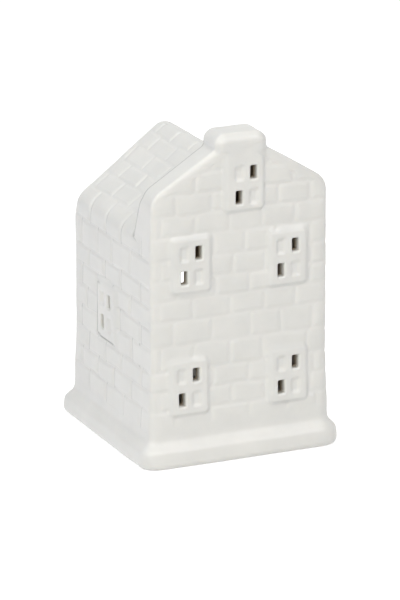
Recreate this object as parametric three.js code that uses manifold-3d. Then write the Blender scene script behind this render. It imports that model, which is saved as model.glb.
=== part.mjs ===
// House candle holder: a slip cast porcelain house with a stepped front gable,
// lit from inside by a tealight that goes in and out through the rear doorway.
// Lengths are millimetres and angles are radians. +Z is up, the facade looks
// along -Y, and the origin is the middle of the foot on the resting plane.

import * as THREE from "three";
import * as BufferGeometryUtils from "three/addons/utils/BufferGeometryUtils.js";
import Module from "manifold-3d";

const wasm = await Module();
wasm.setup();

// Walls and roof
const WALL_WIDTH = 82;
const WALL_DEPTH = 84;
const SHELL = 3.5;
const CORNER_RADIUS = 2.8;
const EAVE_HEIGHT = 99.5;
const RIDGE_HEIGHT = 130.4;
const EAVE_RADIUS = 9;
const RIDGE_RADIUS = 5.5;
const VERGE_RADIUS = 4.5;
const REAR_DEPTH = 7.75;

// Front gable, which stands above the roof as a parapet, and the block on it
const SHOULDER_HEIGHT = 118.5;
const GABLE_RISE = 0.6;
const PARAPET_DEPTH = 14;
const SHOULDER_RADIUS = 9;
const BLOCK_CENTRE = 0.7;
const BLOCK_WIDTH = 24.2;
const BLOCK_TOP = 143.5;
const BLOCK_RADIUS = 5;
const BLOCK_FILLET = 3.5;
const BLOCK_SEAT = 137;
const CAVITY_RADIUS = 1.5;

// Plinth: a flare down the foot of the walls that ends in a rolled bead
const FLARE = 1.7;
const FLARE_TOP = 38;
const BEAD = 4.2;
const BEAD_SHOULDER = 9.6;
const BEAD_SOFTNESS = 1;
const FOOT_RADIUS = 2.8;
const REAR_GROWTH = 0.65;
const SKIRT_HEIGHTS = [0, 0.3, 0.9, 1.7, 2.8, 5, 7, 8.5, 10, 11.5, 14.5, 20, 28, FLARE_TOP];
const PLINTH_TOP = 14.5;
const FLOOR_LEDGE = 3;
const FLOOR_THICKNESS = 3.2;

// Masonry relief: bed joints by height, head joints of each course by distance
// from the left corner of the facade, or from the front corner of a side wall.
// The side courses run round the rear wall too, up to the eave.
const JOINT_WIDTH = 1.5;
const JOINT_DEPTH = 0.5;
const BED_JOINTS = [14.5, 24.5, 33, 42, 53, 64, 73, 82, 91, 101, 110, 119, 128];
const SIDE_BED_JOINTS = [14.5, 24.6, 33.2, 41.8, 51.7, 61, 70.5, 79, 91];
const FRONT_HEAD_JOINTS = [
  [10.3, 28, 45.3, 63, 77],
  [3.7, 20, 37, 53, 74],
  [12, 28.5, 45.3, 61, 76],
  [4.2, 20, 36.4, 51.5, 73],
  [10.3, 28, 45.9, 60.3, 75.3],
  [3.7, 19.2, 36.4, 52.5, 67.2],
  [12, 29.8, 45.3, 60, 74],
  [4, 20, 37.6, 53, 74],
  [12, 29, 43.3, 58, 74],
  [4.2, 20.3, 36.4, 51, 66.4],
  [11.4, 28, 43, 58.8, 73.5],
  [20.3, 37, 66],
];
const SIDE_HEAD_JOINTS = [
  [10.6, 29.4, 48.3, 66.5],
  [21.7, 40.2, 57.8, 75],
  [11.1, 32.2, 50.6, 69.1],
  [22.2, 41, 59, 76.9],
  [12.2, 34.4, 52, 70.4],
  [22.5, 41, 59, 76],
  [12.2, 33, 50.6, 67.8],
  [22.2, 42.2, 58.6, 76],
];
const ROOF_HEAD_JOINTS = [[32, 49.5, 67.5], [23, 41, 58.5, 75.5]];
const ROOF_FIRST_JOINT = 8;
const ROOF_COURSE = 8.75;
const ROOF_COURSES = 6;
const REAR_BRICK = 16.2;
const REAR_COLUMNS = [-2, -1, 0, 1, 2];
const SMOOTH_BORDER = 4;

// Window plates, each with two pierced and two blind panes
const PLATE_WIDTH = 17.6;
const PLATE_HEIGHT = 23.8;
const PLATE_RADIUS = 2;
const PLATE_PROUD = 1.2;
const PLATE_SEAT = 0.9;
const PLATE_EDGE = 0.6;
const PANE_COLUMN = 3.35;
const PANE_ROW = 5.3;
const PIERCED_PANE = { width: 3, height: 6 };
const BLIND_PANE = { width: 4.2, height: 6.6 };
const BLIND_DEPTH = 0.6;
const WINDOWS = [
  { name: "upper_left_window", wall: "front", along: 18.2, height: 88.1 },
  { name: "upper_right_window", wall: "front", along: 63, height: 86.3 },
  { name: "lower_left_window", wall: "front", along: 17, height: 34.3 },
  { name: "lower_right_window", wall: "front", along: 63.4, height: 34 },
  { name: "gable_window", wall: "front", along: 43.3, height: 120.6, upToBlock: true },
  { name: "left_side_window", wall: "left", along: 46.9, height: 56.5 },
  { name: "right_side_window", wall: "right", along: 46.9, height: 56.5 },
];

// Arched doorway in the rear wall
const DOOR_WIDTH = 43;
const DOOR_SPRING = 42;

// Tealight that stands on the floor
const CUP_RADIUS = 19.2;
const CUP_FOOT_RADIUS = 18.6;
const CUP_HEIGHT = 15;
const CUP_WALL = 0.5;
const WAX_HEIGHT = 12;
const HOLDER_RADIUS = 6.5;
const HOLDER_PLATE = 0.5;
const HOLDER_NECK = 3.5;
const HOLDER_NECK_RADIUS = 1.7;
const WICK_RADIUS = 0.8;
const WICK_RISE = 6;
const ROUND_SIDES = 48;

// Gap between neighbours, fineness of arcs, and how far cutters run past a face
const GAP = 0.3;
const ARC_STEP = Math.PI / 8;
const PAST = 5;

const halfWidth = WALL_WIDTH / 2;
const halfDepth = WALL_DEPTH / 2;
const roofSlope = Math.atan2(RIDGE_HEIGHT - EAVE_HEIGHT, halfWidth);
const gableSlope = Math.atan(GABLE_RISE);
const frontSeam = -halfDepth + PARAPET_DEPTH;
const rearSeam = halfDepth - REAR_DEPTH;
const wallTop = SIDE_BED_JOINTS.at(-1);
const wallCourses = SIDE_BED_JOINTS.length;
const floorTop = PLINTH_TOP - GAP / 2;
const floorBottom = floorTop - FLOOR_THICKNESS;
const wide = halfWidth + 2 * PAST;
const deep = halfDepth + 2 * PAST;
const high = BLOCK_TOP + PAST;

const PORCELAIN = { color: 0xe6e6e1, roughness: 0.22, metalness: 0 };
const ALUMINIUM = { color: 0xc9cacc, roughness: 0.35, metalness: 1 };
const PARAFFIN = { color: 0xf4f1e8, roughness: 0.45, metalness: 0 };
const COTTON = { color: 0xe9e3d2, roughness: 0.95, metalness: 0 };
const TINPLATE = { color: 0xb4b5b7, roughness: 0.4, metalness: 1 };

// A closed geometry as a solid, its faces joined at shared vertices.
function solid(geometry) {
  geometry.deleteAttribute("normal");
  geometry.deleteAttribute("uv");
  const merged = BufferGeometryUtils.mergeVertices(geometry, 1e-4);
  const mesh = new wasm.Mesh({
    numProp: 3,
    vertProperties: Float32Array.from(merged.attributes.position.array),
    triVerts: Uint32Array.from(merged.index.array),
  });
  return new wasm.Manifold(mesh);
}

// A solid as a geometry again.
function geometryOf(shape) {
  const mesh = shape.getMesh();
  const geometry = new THREE.BufferGeometry();
  geometry.setAttribute("position", new THREE.BufferAttribute(mesh.vertProperties, 3));
  geometry.setIndex(new THREE.BufferAttribute(mesh.triVerts, 1));
  geometry.computeVertexNormals();
  return geometry;
}

// A solid moved and turned by a matrix.
function placed(shape, matrix) {
  return solid(geometryOf(shape).applyMatrix4(matrix));
}

// Several solids as one.
function joined(shapes) {
  return wasm.Manifold.union(shapes);
}

// A box from its lowest to its highest corner.
function box(lowest, highest) {
  const size = highest.map((value, axis) => value - lowest[axis]);
  const geometry = new THREE.BoxGeometry(...size);
  geometry.translate(...lowest.map((value, axis) => value + size[axis] / 2));
  return solid(geometry);
}

// Points round a closed outline whose corners are [x, y, radius].
function roundedPoints(corners) {
  return corners.flatMap(([x, y, radius], index) => {
    const here = new THREE.Vector2(x, y);
    if (radius <= 0) {
      return [here];
    }
    const [backX, backY] = corners.at(index - 1);
    const [aheadX, aheadY] = corners[(index + 1) % corners.length];
    const back = new THREE.Vector2(backX - x, backY - y).normalize();
    const ahead = new THREE.Vector2(aheadX - x, aheadY - y).normalize();
    const half = back.angleTo(ahead) / 2;
    const inward = back.clone().add(ahead).normalize();
    const centre = here.clone().addScaledVector(inward, radius / Math.sin(half));
    const reach = radius / Math.tan(half);
    const start = here.clone().addScaledVector(back, reach).sub(centre).angle();
    const end = here.clone().addScaledVector(ahead, reach).sub(centre).angle();
    const turn = Math.atan2(Math.sin(end - start), Math.cos(end - start));
    const steps = Math.max(2, Math.round(Math.abs(turn) / ARC_STEP));
    return Array.from({ length: steps + 1 }, (_, step) => {
      const angle = start + (turn * step) / steps;
      return new THREE.Vector2(Math.cos(angle), Math.sin(angle)).multiplyScalar(radius).add(centre);
    });
  });
}

// An outline in X and Z swept along Y, with its two rims rounded by edge.
function sweepAlongY(points, front, back, edge = 0) {
  const geometry = new THREE.ExtrudeGeometry(new THREE.Shape(points), {
    depth: back - front - 2 * edge,
    bevelEnabled: edge > 0,
    bevelThickness: edge,
    bevelSize: edge,
    bevelOffset: -edge,
    bevelSegments: 3,
  });
  geometry.rotateX(Math.PI / 2);
  geometry.translate(0, back - edge, 0);
  return solid(geometry);
}

// The walls' plan, grown all round by overhang. The rear corner radii grow by only
// a share of that, so the bead turns them more tightly than the front ones.
function planPoints(overhang) {
  const x = halfWidth + overhang;
  const y = halfDepth + overhang;
  const front = CORNER_RADIUS + overhang;
  const rear = VERGE_RADIUS + REAR_GROWTH * overhang;
  return roundedPoints([[x, -y, front], [x, y, rear], [-x, y, rear], [-x, -y, front]]);
}

// Cross-section of walls and roof, drawn inset inside the outer faces.
function houseSection(inset, floor) {
  const x = halfWidth - inset;
  const drop = inset / Math.cos(roofSlope);
  const eave = EAVE_HEIGHT + inset * Math.tan(roofSlope) - drop;
  const eaveRadius = EAVE_RADIUS - inset;
  const ridgeRadius = Math.max(0, RIDGE_RADIUS - inset);
  return roundedPoints([
    [-x, floor, 0],
    [x, floor, 0],
    [x, eave, eaveRadius],
    [0, RIDGE_HEIGHT - drop, ridgeRadius],
    [-x, eave, eaveRadius],
  ]);
}

// Outline of the front gable with its block, drawn inset inside the outer faces.
function gableSection(inset, floor) {
  const x = halfWidth - inset;
  const drop = inset / Math.cos(gableSlope);
  const slopeAt = (along) => SHOULDER_HEIGHT + GABLE_RISE * (halfWidth - along) - drop;
  const convex = (radius) => Math.max(CAVITY_RADIUS, radius - inset);
  const half = (sign) => {
    const block = BLOCK_WIDTH / 2 - inset + sign * BLOCK_CENTRE;
    const corners = [
      [x, floor, 0],
      [x, slopeAt(x), convex(SHOULDER_RADIUS)],
      [block, slopeAt(block), BLOCK_FILLET],
      [block, BLOCK_TOP - inset, convex(BLOCK_RADIUS)],
    ];
    return corners.map(([along, height, radius]) => [sign * along, height, radius]);
  };
  return roundedPoints([...half(1), ...half(-1).reverse()]);
}

// Overhang of the plinth at a height: the flare and the bead, less the
// rounding of the lowest edge.
function overhangAt(height) {
  const flare = FLARE * (1 - height / FLARE_TOP);
  const bead = BEAD / (1 + Math.exp((height - BEAD_SHOULDER) / BEAD_SOFTNESS));
  const lift = Math.max(0, FOOT_RADIUS - height);
  return flare + bead - FOOT_RADIUS + Math.sqrt(FOOT_RADIUS ** 2 - lift ** 2);
}

// Solid skirt of the plinth through rings of the plan at rising heights.
function skirt(inset) {
  const rings = SKIRT_HEIGHTS.map((height) => planPoints(overhangAt(height) - inset));
  const count = rings[0].length;
  const positions = rings.flatMap((ring, level) =>
    ring.flatMap((point) => [point.x, point.y, SKIRT_HEIGHTS[level]]));
  const index = [];
  for (let level = 1; level < rings.length; level += 1) {
    for (let side = 0; side < count; side += 1) {
      const a = (level - 1) * count + side;
      const b = (level - 1) * count + ((side + 1) % count);
      index.push(a, b, b + count, a, b + count, a + count);
    }
  }
  const top = (rings.length - 1) * count;
  for (let side = 1; side + 1 < count; side += 1) {
    index.push(0, side + 1, side);
    index.push(top, top + side, top + side + 1);
  }
  const geometry = new THREE.BufferGeometry();
  geometry.setAttribute("position", new THREE.Float32BufferAttribute(positions, 3));
  geometry.setIndex(index);
  return solid(geometry);
}

// Outer form of the front member, as deep as the parapet: the gable's outline
// with its front rim rounded, and the skirt at its foot.
function frontForm(inset) {
  const rim = CORNER_RADIUS - inset;
  const gable = sweepAlongY(gableSection(inset, -PAST), -halfDepth + inset, deep, rim);
  return gable.add(skirt(inset)).intersect(box([-wide, -deep, 0], [wide, frontSeam, high]));
}

// Outer form of side walls, rear wall and roof, behind the parapet: their
// cross-section with its rear rim rounded, and the skirt at its foot.
function houseForm(inset) {
  const rim = VERGE_RADIUS - inset;
  const hall = sweepAlongY(houseSection(inset, -PAST), -deep, halfDepth - inset, rim);
  return hall.add(skirt(inset)).intersect(box([-wide, frontSeam, 0], [wide, deep, high]));
}

// Height of a point of the roof that lies some way up the slope from the eave.
function roofHeight(up) {
  return EAVE_HEIGHT + up * Math.sin(roofSlope);
}

// Slab across a range of heights and, if given, a range of x or y.
function slab([bottom, top], [left, right] = [-wide, wide], [front, back] = [-deep, deep]) {
  return box([left, front, bottom], [right, back, top]);
}

// The range of a joint that is centred on a place.
function jointRange(place) {
  return [place - JOINT_WIDTH / 2, place + JOINT_WIDTH / 2];
}

// Where a gable's joints may run: all of the wall below its slope, and above
// that only what lies inside a smooth border along the slope.
function insideBorder(outline, straightTop) {
  const within = sweepAlongY(outline(SMOOTH_BORDER, -PAST), -deep, deep);
  return within.add(slab([0, straightTop]));
}

// Slabs where the facade's joints run.
function frontJoints() {
  const face = [-deep, -halfDepth + SHELL];
  const beds = BED_JOINTS.slice(1).map((height) => slab(jointRange(height), undefined, face));
  const heads = FRONT_HEAD_JOINTS.flatMap((joints, course) => {
    const range = [BED_JOINTS[course], BED_JOINTS[course + 1]];
    return joints.map((along) => slab(range, jointRange(along - halfWidth), face));
  });
  const straightTop = SHOULDER_HEIGHT - SHOULDER_RADIUS;
  return joined([...beds, ...heads]).intersect(insideBorder(gableSection, straightTop));
}

// Slabs where the joints of both side walls run, up to the eave. The beds go on
// round the rear wall, and all of them stay behind the facade's own joints.
function sideJoints() {
  const behind = [-halfDepth + SHELL, deep];
  const beds = SIDE_BED_JOINTS.slice(1).map((height) =>
    slab(jointRange(height), undefined, behind));
  const heads = SIDE_HEAD_JOINTS.flatMap((joints, course) => {
    const range = [SIDE_BED_JOINTS[course], SIDE_BED_JOINTS[course + 1]];
    return joints.map((along) => slab(range, undefined, jointRange(along - halfDepth)));
  });
  return joined([...beds, ...heads]);
}

// Slabs where the joints of both roof slopes run, from the course that wraps
// over the eave to the one below the ridge.
function roofJoints() {
  const verge = [frontSeam, halfDepth - VERGE_RADIUS];
  const thin = (JOINT_WIDTH / 2) * Math.sin(roofSlope);
  const tops = Array.from({ length: ROOF_COURSES }, (_, course) =>
    roofHeight(ROOF_FIRST_JOINT + ROOF_COURSE * course));
  const slabs = tops.flatMap((top, course) => {
    const range = [course === 0 ? wallTop : tops[course - 1], top];
    const joints = ROOF_HEAD_JOINTS[course % 2];
    const heads = joints.map((along) => slab(range, undefined, jointRange(along - halfDepth)));
    return [slab([top - thin, top + thin], undefined, verge), ...heads];
  });
  return joined(slabs).intersect(slab([wallTop, high], undefined, verge));
}

// Slabs where the joints of the rear wall and its gable run.
function rearJoints() {
  const face = [halfDepth - SHELL, deep];
  const gableBeds = BED_JOINTS.slice(wallCourses);
  const beds = gableBeds.map((height) => slab(jointRange(height), undefined, face));
  const levels = [...SIDE_BED_JOINTS, ...gableBeds];
  const heads = levels.slice(1).flatMap((top, course) => {
    const columns = REAR_COLUMNS.map((column) => (column + (course % 2) / 2) * REAR_BRICK);
    return columns.map((x) => slab([levels[course], top], jointRange(x), face));
  });
  const straightTop = EAVE_HEIGHT - EAVE_RADIUS / 2;
  return joined([...beds, ...heads]).intersect(insideBorder(houseSection, straightTop));
}

// A form with its joints sunk into it by JOINT_DEPTH.
function withJoints(form, joints) {
  return form(0).subtract(joints.subtract(form(JOINT_DEPTH)));
}

// Outline of a window plate about its own middle, grown all round by margin.
function plateOutline(margin, rise = 0) {
  const x = PLATE_WIDTH / 2 + margin;
  const bottom = -PLATE_HEIGHT / 2 - margin;
  const top = PLATE_HEIGHT / 2 + margin + rise;
  const radius = PLATE_RADIUS + margin;
  return roundedPoints([
    [-x, bottom, radius],
    [x, bottom, radius],
    [x, top, radius],
    [-x, top, radius],
  ]);
}

// Boxes of two panes of one size between two depths: the upper one stands on the
// given side, 1 for right and -1 for left, and the lower one across from it.
function panes({ width, height }, side, front, back) {
  return joined([[side, 1], [-side, -1]].map(([column, row]) => {
    const x = column * PANE_COLUMN;
    const z = row * PANE_ROW;
    return box([x - width / 2, front, z - height / 2], [x + width / 2, back, z + height / 2]);
  }));
}

// How far a window's plate runs on above its usual top, up to the gable's block.
function riseOf(window) {
  return window.upToBlock ? BLOCK_SEAT - GAP / 2 - window.height - PLATE_HEIGHT / 2 : 0;
}

// A window plate about its own middle, its outer face towards -Y.
function windowPlate(window) {
  const outline = plateOutline(0, riseOf(window));
  const plate = sweepAlongY(outline, -PLATE_PROUD, PLATE_SEAT - GAP, PLATE_EDGE);
  return plate
    .subtract(panes(PIERCED_PANE, 1, -PAST, PAST))
    .subtract(panes(BLIND_PANE, -1, -PAST, BLIND_DEPTH - PLATE_PROUD));
}

// What a window takes out of the wall behind it: its seat and its pierced panes.
function windowPocket(window) {
  const rise = riseOf(window);
  const outline = plateOutline(GAP, window.upToBlock ? rise + PAST : rise);
  const seat = sweepAlongY(outline, -PAST, PLATE_SEAT);
  const holes = panes(PIERCED_PANE, 1, -PAST, SHELL + PAST);
  return placed(seat.add(holes), windowMatrix(window));
}

// Place of a window: turned to face out of its wall, at its distance along it.
function windowMatrix({ wall, along, height }) {
  const places = {
    front: { turn: 0, position: [along - halfWidth, -halfDepth, height] },
    left: { turn: -Math.PI / 2, position: [-halfWidth, along - halfDepth, height] },
    right: { turn: Math.PI / 2, position: [halfWidth, along - halfDepth, height] },
  };
  const { turn, position } = places[wall];
  return new THREE.Matrix4().makeRotationZ(turn).setPosition(...position);
}

// Arched opening through the rear wall, down to the floor.
function doorway() {
  const x = DOOR_WIDTH / 2;
  const top = DOOR_SPRING + x;
  const radius = x - 0.01;
  const outline = roundedPoints([[-x, 0, 0], [x, 0, 0], [x, top, radius], [-x, top, radius]]);
  return sweepAlongY(outline, halfDepth - SHELL - PAST, deep);
}

// The hollow inside walls, roof and parapet, open at the floor.
function chamber() {
  const room = sweepAlongY(houseSection(SHELL, floorTop), -halfDepth + SHELL, halfDepth - SHELL);
  const attic = sweepAlongY(gableSection(SHELL, floorTop), -halfDepth + SHELL, frontSeam - SHELL);
  return room.add(attic);
}

// The whole porcelain body but for its plates, plinth to ridge, in two solids.
function bodies() {
  const hollow = joined([chamber(), doorway(), ...WINDOWS.map(windowPocket)]);
  const front = withJoints(frontForm, joined([frontJoints(), sideJoints()])).subtract(hollow);
  const house = withJoints(houseForm, joined([sideJoints(), roofJoints(), rearJoints()]));
  return { front, house: house.subtract(hollow) };
}

// Foot ring of the plinth with the ledge that carries the floor.
function plinth() {
  const outer = skirt(0).intersect(slab([0, floorTop]));
  const seatX = halfWidth - SHELL;
  const seatY = halfDepth - SHELL;
  const ledgeX = seatX - FLOOR_LEDGE;
  const ledgeY = seatY - FLOOR_LEDGE;
  const ledgeTop = floorBottom - GAP;
  return outer
    .subtract(box([-seatX, -seatY, ledgeTop], [seatX, seatY, high]))
    .subtract(box([-ledgeX, -ledgeY, -PAST], [ledgeX, ledgeY, high]));
}

// Floor of the chamber, let into the plinth.
function floorSlab() {
  const x = halfWidth - SHELL - GAP;
  const y = halfDepth - SHELL - GAP;
  return box([-x, -y, floorBottom], [x, y, floorTop]);
}

// Block on the gable: the top of the gable's own form, with a front face that
// stands proud of the masonry as the window plate under it does.
function gableBlock(front) {
  const left = BLOCK_CENTRE - BLOCK_WIDTH / 2;
  const right = BLOCK_CENTRE + BLOCK_WIDTH / 2;
  const outline = roundedPoints([
    [left, SHOULDER_HEIGHT, 0],
    [right, SHOULDER_HEIGHT, 0],
    [right, BLOCK_TOP, BLOCK_RADIUS],
    [left, BLOCK_TOP, BLOCK_RADIUS],
  ]);
  const pad = sweepAlongY(outline, -halfDepth - PLATE_PROUD, frontSeam - GAP / 2, CORNER_RADIUS);
  return front.add(pad.subtract(chamber())).intersect(slab([BLOCK_SEAT + GAP / 2, high]));
}

// Solid of revolution about Z from [radius, height] pairs that close a loop.
function turned(pairs) {
  const points = [...pairs, pairs[0]].map(([radius, height]) => new THREE.Vector2(radius, height));
  const geometry = new THREE.LatheGeometry(points, ROUND_SIDES);
  geometry.rotateX(Math.PI / 2);
  return solid(geometry);
}

// Pressed aluminium cup, open at the top and slightly wider there.
function tealightCup() {
  const foot = CUP_FOOT_RADIUS;
  return turned([
    [0, 0],
    [foot, 0],
    [CUP_RADIUS, CUP_HEIGHT],
    [CUP_RADIUS - CUP_WALL, CUP_HEIGHT],
    [foot - CUP_WALL, CUP_WALL],
    [0, CUP_WALL],
  ]);
}

// Wax filling of the cup, cast round the wick holder.
function tealightWax() {
  const bottom = CUP_WALL + GAP;
  const outer = CUP_FOOT_RADIUS - CUP_WALL - GAP;
  const slot = bottom + HOLDER_PLATE + GAP;
  const bore = HOLDER_NECK_RADIUS + GAP;
  return turned([
    [HOLDER_RADIUS + GAP, bottom],
    [outer, bottom],
    [outer, bottom + WAX_HEIGHT],
    [bore, bottom + WAX_HEIGHT],
    [bore, slot],
    [HOLDER_RADIUS + GAP, slot],
  ]);
}

// Tinplate disc and neck that stand the wick upright.
function wickHolder() {
  const bottom = CUP_WALL + GAP;
  const bore = WICK_RADIUS + GAP;
  return turned([
    [bore, bottom],
    [HOLDER_RADIUS, bottom],
    [HOLDER_RADIUS, bottom + HOLDER_PLATE],
    [HOLDER_NECK_RADIUS, bottom + HOLDER_PLATE],
    [HOLDER_NECK_RADIUS, bottom + HOLDER_NECK],
    [bore, bottom + HOLDER_NECK],
  ]);
}

// Cotton wick, which stands in the holder and out of the wax.
function wick() {
  const bottom = CUP_WALL + GAP;
  const length = WAX_HEIGHT + WICK_RISE;
  const geometry = new THREE.CylinderGeometry(WICK_RADIUS, WICK_RADIUS, length, ROUND_SIDES / 4);
  geometry.rotateX(Math.PI / 2);
  geometry.translate(0, 0, bottom + length / 2);
  return solid(geometry);
}

// A named mesh of a solid, with a material of its own.
function part(name, shape, finish) {
  const mesh = new THREE.Mesh(geometryOf(shape), new THREE.MeshStandardMaterial(finish));
  mesh.name = name;
  return mesh;
}

// Porcelain members, cut from the body along its seams.
function porcelain() {
  const { front, house } = bodies();
  const half = GAP / 2;
  const frontRange = [-deep, frontSeam - half];
  const sideRange = [frontSeam + half, rearSeam - half];
  const wallRange = [PLINTH_TOP + half, wallTop - half];
  const group = new THREE.Group();
  group.add(part("plinth", plinth(), PORCELAIN));
  group.add(part("floor_slab", floorSlab(), PORCELAIN));
  const gable = front.intersect(slab([PLINTH_TOP + half, BLOCK_SEAT - half], undefined, frontRange));
  group.add(part("front_gable", gable, PORCELAIN));
  group.add(part("gable_block", gableBlock(front), PORCELAIN));
  const rear = house.intersect(slab([PLINTH_TOP + half, high], undefined, [rearSeam + half, deep]));
  group.add(part("rear_wall", rear, PORCELAIN));
  [["left", [-wide, -half]], ["right", [half, wide]]].forEach(([side, across]) => {
    const wall = house.intersect(slab(wallRange, across, sideRange));
    const roof = house.intersect(slab([wallTop + half, high], across, sideRange));
    group.add(part(`${side}_wall`, wall, PORCELAIN));
    group.add(part(`${side}_roof`, roof, PORCELAIN));
  });
  return group;
}

// Window plates, each placed on its wall.
function windows() {
  const group = new THREE.Group();
  WINDOWS.forEach((window) => {
    const plate = part(window.name, windowPlate(window), PORCELAIN);
    plate.applyMatrix4(windowMatrix(window));
    group.add(plate);
  });
  return group;
}

// The tealight, standing in the middle of the floor.
function tealight() {
  const group = new THREE.Group();
  group.add(part("tealight_cup", tealightCup(), ALUMINIUM));
  group.add(part("tealight_wax", tealightWax(), PARAFFIN));
  group.add(part("wick_holder", wickHolder(), TINPLATE));
  group.add(part("wick", wick(), COTTON));
  group.position.z = floorTop + GAP;
  return group;
}

const candleHouse = new THREE.Group();
candleHouse.add(porcelain(), windows(), tealight());

export default candleHouse;
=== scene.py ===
"""House candle holder: the glazed porcelain house, its window plates and the tealight.

Shapes are worked out in millimetres in the CAD's own frame, with the facade along -Y,
and become metres when a mesh is made. The outer faces of neighbouring pieces come from
the same functions, so the glaze runs over every seam without a break.
"""

import logging
import math
from dataclasses import dataclass, field
from enum import Enum
from typing import Callable, Iterable, Optional, Sequence

import bpy
import numpy as np
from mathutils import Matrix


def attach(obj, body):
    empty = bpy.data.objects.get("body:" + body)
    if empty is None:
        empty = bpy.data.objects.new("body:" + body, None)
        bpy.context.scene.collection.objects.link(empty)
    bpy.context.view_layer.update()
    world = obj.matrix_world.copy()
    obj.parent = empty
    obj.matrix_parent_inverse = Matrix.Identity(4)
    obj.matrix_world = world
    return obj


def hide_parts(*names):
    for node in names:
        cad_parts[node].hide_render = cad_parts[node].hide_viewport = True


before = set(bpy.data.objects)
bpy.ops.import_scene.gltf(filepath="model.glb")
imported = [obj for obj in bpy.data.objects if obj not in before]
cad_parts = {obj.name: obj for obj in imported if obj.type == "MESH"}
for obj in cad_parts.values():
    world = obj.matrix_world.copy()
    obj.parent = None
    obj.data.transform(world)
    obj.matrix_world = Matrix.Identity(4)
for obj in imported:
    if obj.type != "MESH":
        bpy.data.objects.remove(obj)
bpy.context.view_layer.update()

LOG = logging.getLogger("candle_house")
MM = 0.001
TAU, QUARTER = 2.0 * math.pi, math.pi / 2
Array = np.ndarray

# Plain size of the walls, seams between members, and rims, all in millimetres
HALF_WIDTH, HALF_DEPTH, SHELL = 41.0, 42.0, 3.5
FRONT_SEAM, REAR_SEAM = -28.0, 34.25
PLINTH_TOP, WALL_TOP, BLOCK_SEAT = 14.5, 91.0, 137.0
FRONT_RIM, FRONT_RIM_DEPTH, PARAPET_RIM = 4.2, 1.9, 1.7
REAR_RIM, REAR_RIM_DEPTH = 4.5, 2.0
# Share of the foot's overhang by which the rear corners' radii grow
REAR_GROWTH = 0.65
# How far a spare grid line lies outside a seam, a slope is measured each way, and points coincide
SPARE, NEAR, JOINED = 0.4, 0.05, 1e-4


class Side(Enum):
    """The two sides of the house as seen from the front, as signs of X."""

    LEFT = -1
    RIGHT = 1


class Slot(Enum):
    """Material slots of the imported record."""

    PORCELAIN = "glazed_porcelain"
    CUP = "cup_aluminium"
    WAX = "paraffin_wax"
    HOLDER = "holder_tinplate"
    WICK = "wick_cotton"


# Plain mathematics


def smooth(low: float, high: float, value: Array) -> Array:
    """A cubic that rises from 0 at low to 1 at high and is level at both ends.

    Args:
        low: where the rise starts; it may lie above high for a fall.
        high: where it ends.
        value: places to work it out at.

    Returns:
        3 t squared minus 2 t cubed, with t the clipped share of the way.
    """
    t = np.clip((value - low) / (high - low), 0.0, 1.0)
    return t * t * (3.0 - 2.0 * t)


def rounded_box_distance(x: Array, z: Array, half: Sequence[float], radius: float) -> Array:
    """Signed distance to a rectangle with rounded corners, negative inside.

    Args:
        x: place across, from the rectangle's middle.
        z: place up, from its middle.
        half: half its width and half its height.
        radius: corner radius.

    Returns:
        Length of the positive part of |p| - half + radius, plus the smaller of its
        larger component and 0, less the radius.
    """
    qx = np.abs(x) - half[0] + radius
    qz = np.abs(z) - half[1] + radius
    return np.hypot(np.maximum(qx, 0), np.maximum(qz, 0)) + np.minimum(np.maximum(qx, qz), 0) - radius


def roll_off(distance: Array, radius: float) -> Array:
    """How far a rounded rim has sunk at a distance from its edge: a quarter circle."""
    lack = np.clip(radius - distance, 0.0, radius)
    return radius - np.sqrt(np.maximum(radius * radius - lack * lack, 0.0))


def unit(vectors: Array) -> Array:
    """Vectors scaled to length one, and zero vectors left at zero."""
    length = np.linalg.norm(vectors, axis=-1, keepdims=True)
    return vectors / np.maximum(length, 1e-9)


def grid_normals(points: Array) -> Array:
    """Normals of a grid of points: the cross product of its two central differences."""
    return unit(np.cross(np.gradient(points, axis=1), np.gradient(points, axis=0)))


def bell(value: Array, centre: float, width: float) -> Array:
    """A Gaussian: e to the minus square of the distance from centre in widths."""
    return np.exp(-(((value - centre) / width) ** 2))


def spread(*parts: Array) -> Array:
    """Coordinates stacked over the one grid that they all fit."""
    return np.stack(np.broadcast_arrays(*parts), -1)


def join(*runs: Array) -> Array:
    """Runs of columns side by side; a run of one row is repeated for every row."""
    rows = max(len(run) for run in runs)
    return np.concatenate([np.broadcast_to(run, (rows, run.shape[1])) for run in runs], 1)


def shares(count: int, whole: float = 1.0) -> Array:
    """A row of count even steps that starts at zero and stops one short of the whole."""
    return np.linspace(0, whole, count + 1)[None, :-1]


def arc(centre: Sequence[float], radius: float, start: float, stop: float, count: int) -> Array:
    """Points on an arc, its angles counted from the right towards the top."""
    angle = np.linspace(start, stop, count)
    return spread(centre[0] + radius * np.cos(angle), centre[1] + radius * np.sin(angle))


def lengths(points: Array) -> Array:
    """Length along an outline up to each of its points."""
    return np.concatenate([[0], np.cumsum(np.linalg.norm(np.diff(points, axis=0), axis=1))])


def walk(points: Array, places: Array) -> Array:
    """Points of an outline at lengths along it."""
    run = lengths(points)
    return spread(*(np.interp(places, run, points[:, axis]) for axis in (0, 1)))


def outward_along(points: Array, places: Array, step: float) -> Array:
    """Outward directions of an outline that runs anticlockwise, at lengths along it."""
    way = unit(walk(points, places + step) - walk(points, places - step))
    return spread(way[:, 1], -way[:, 0])


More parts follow.
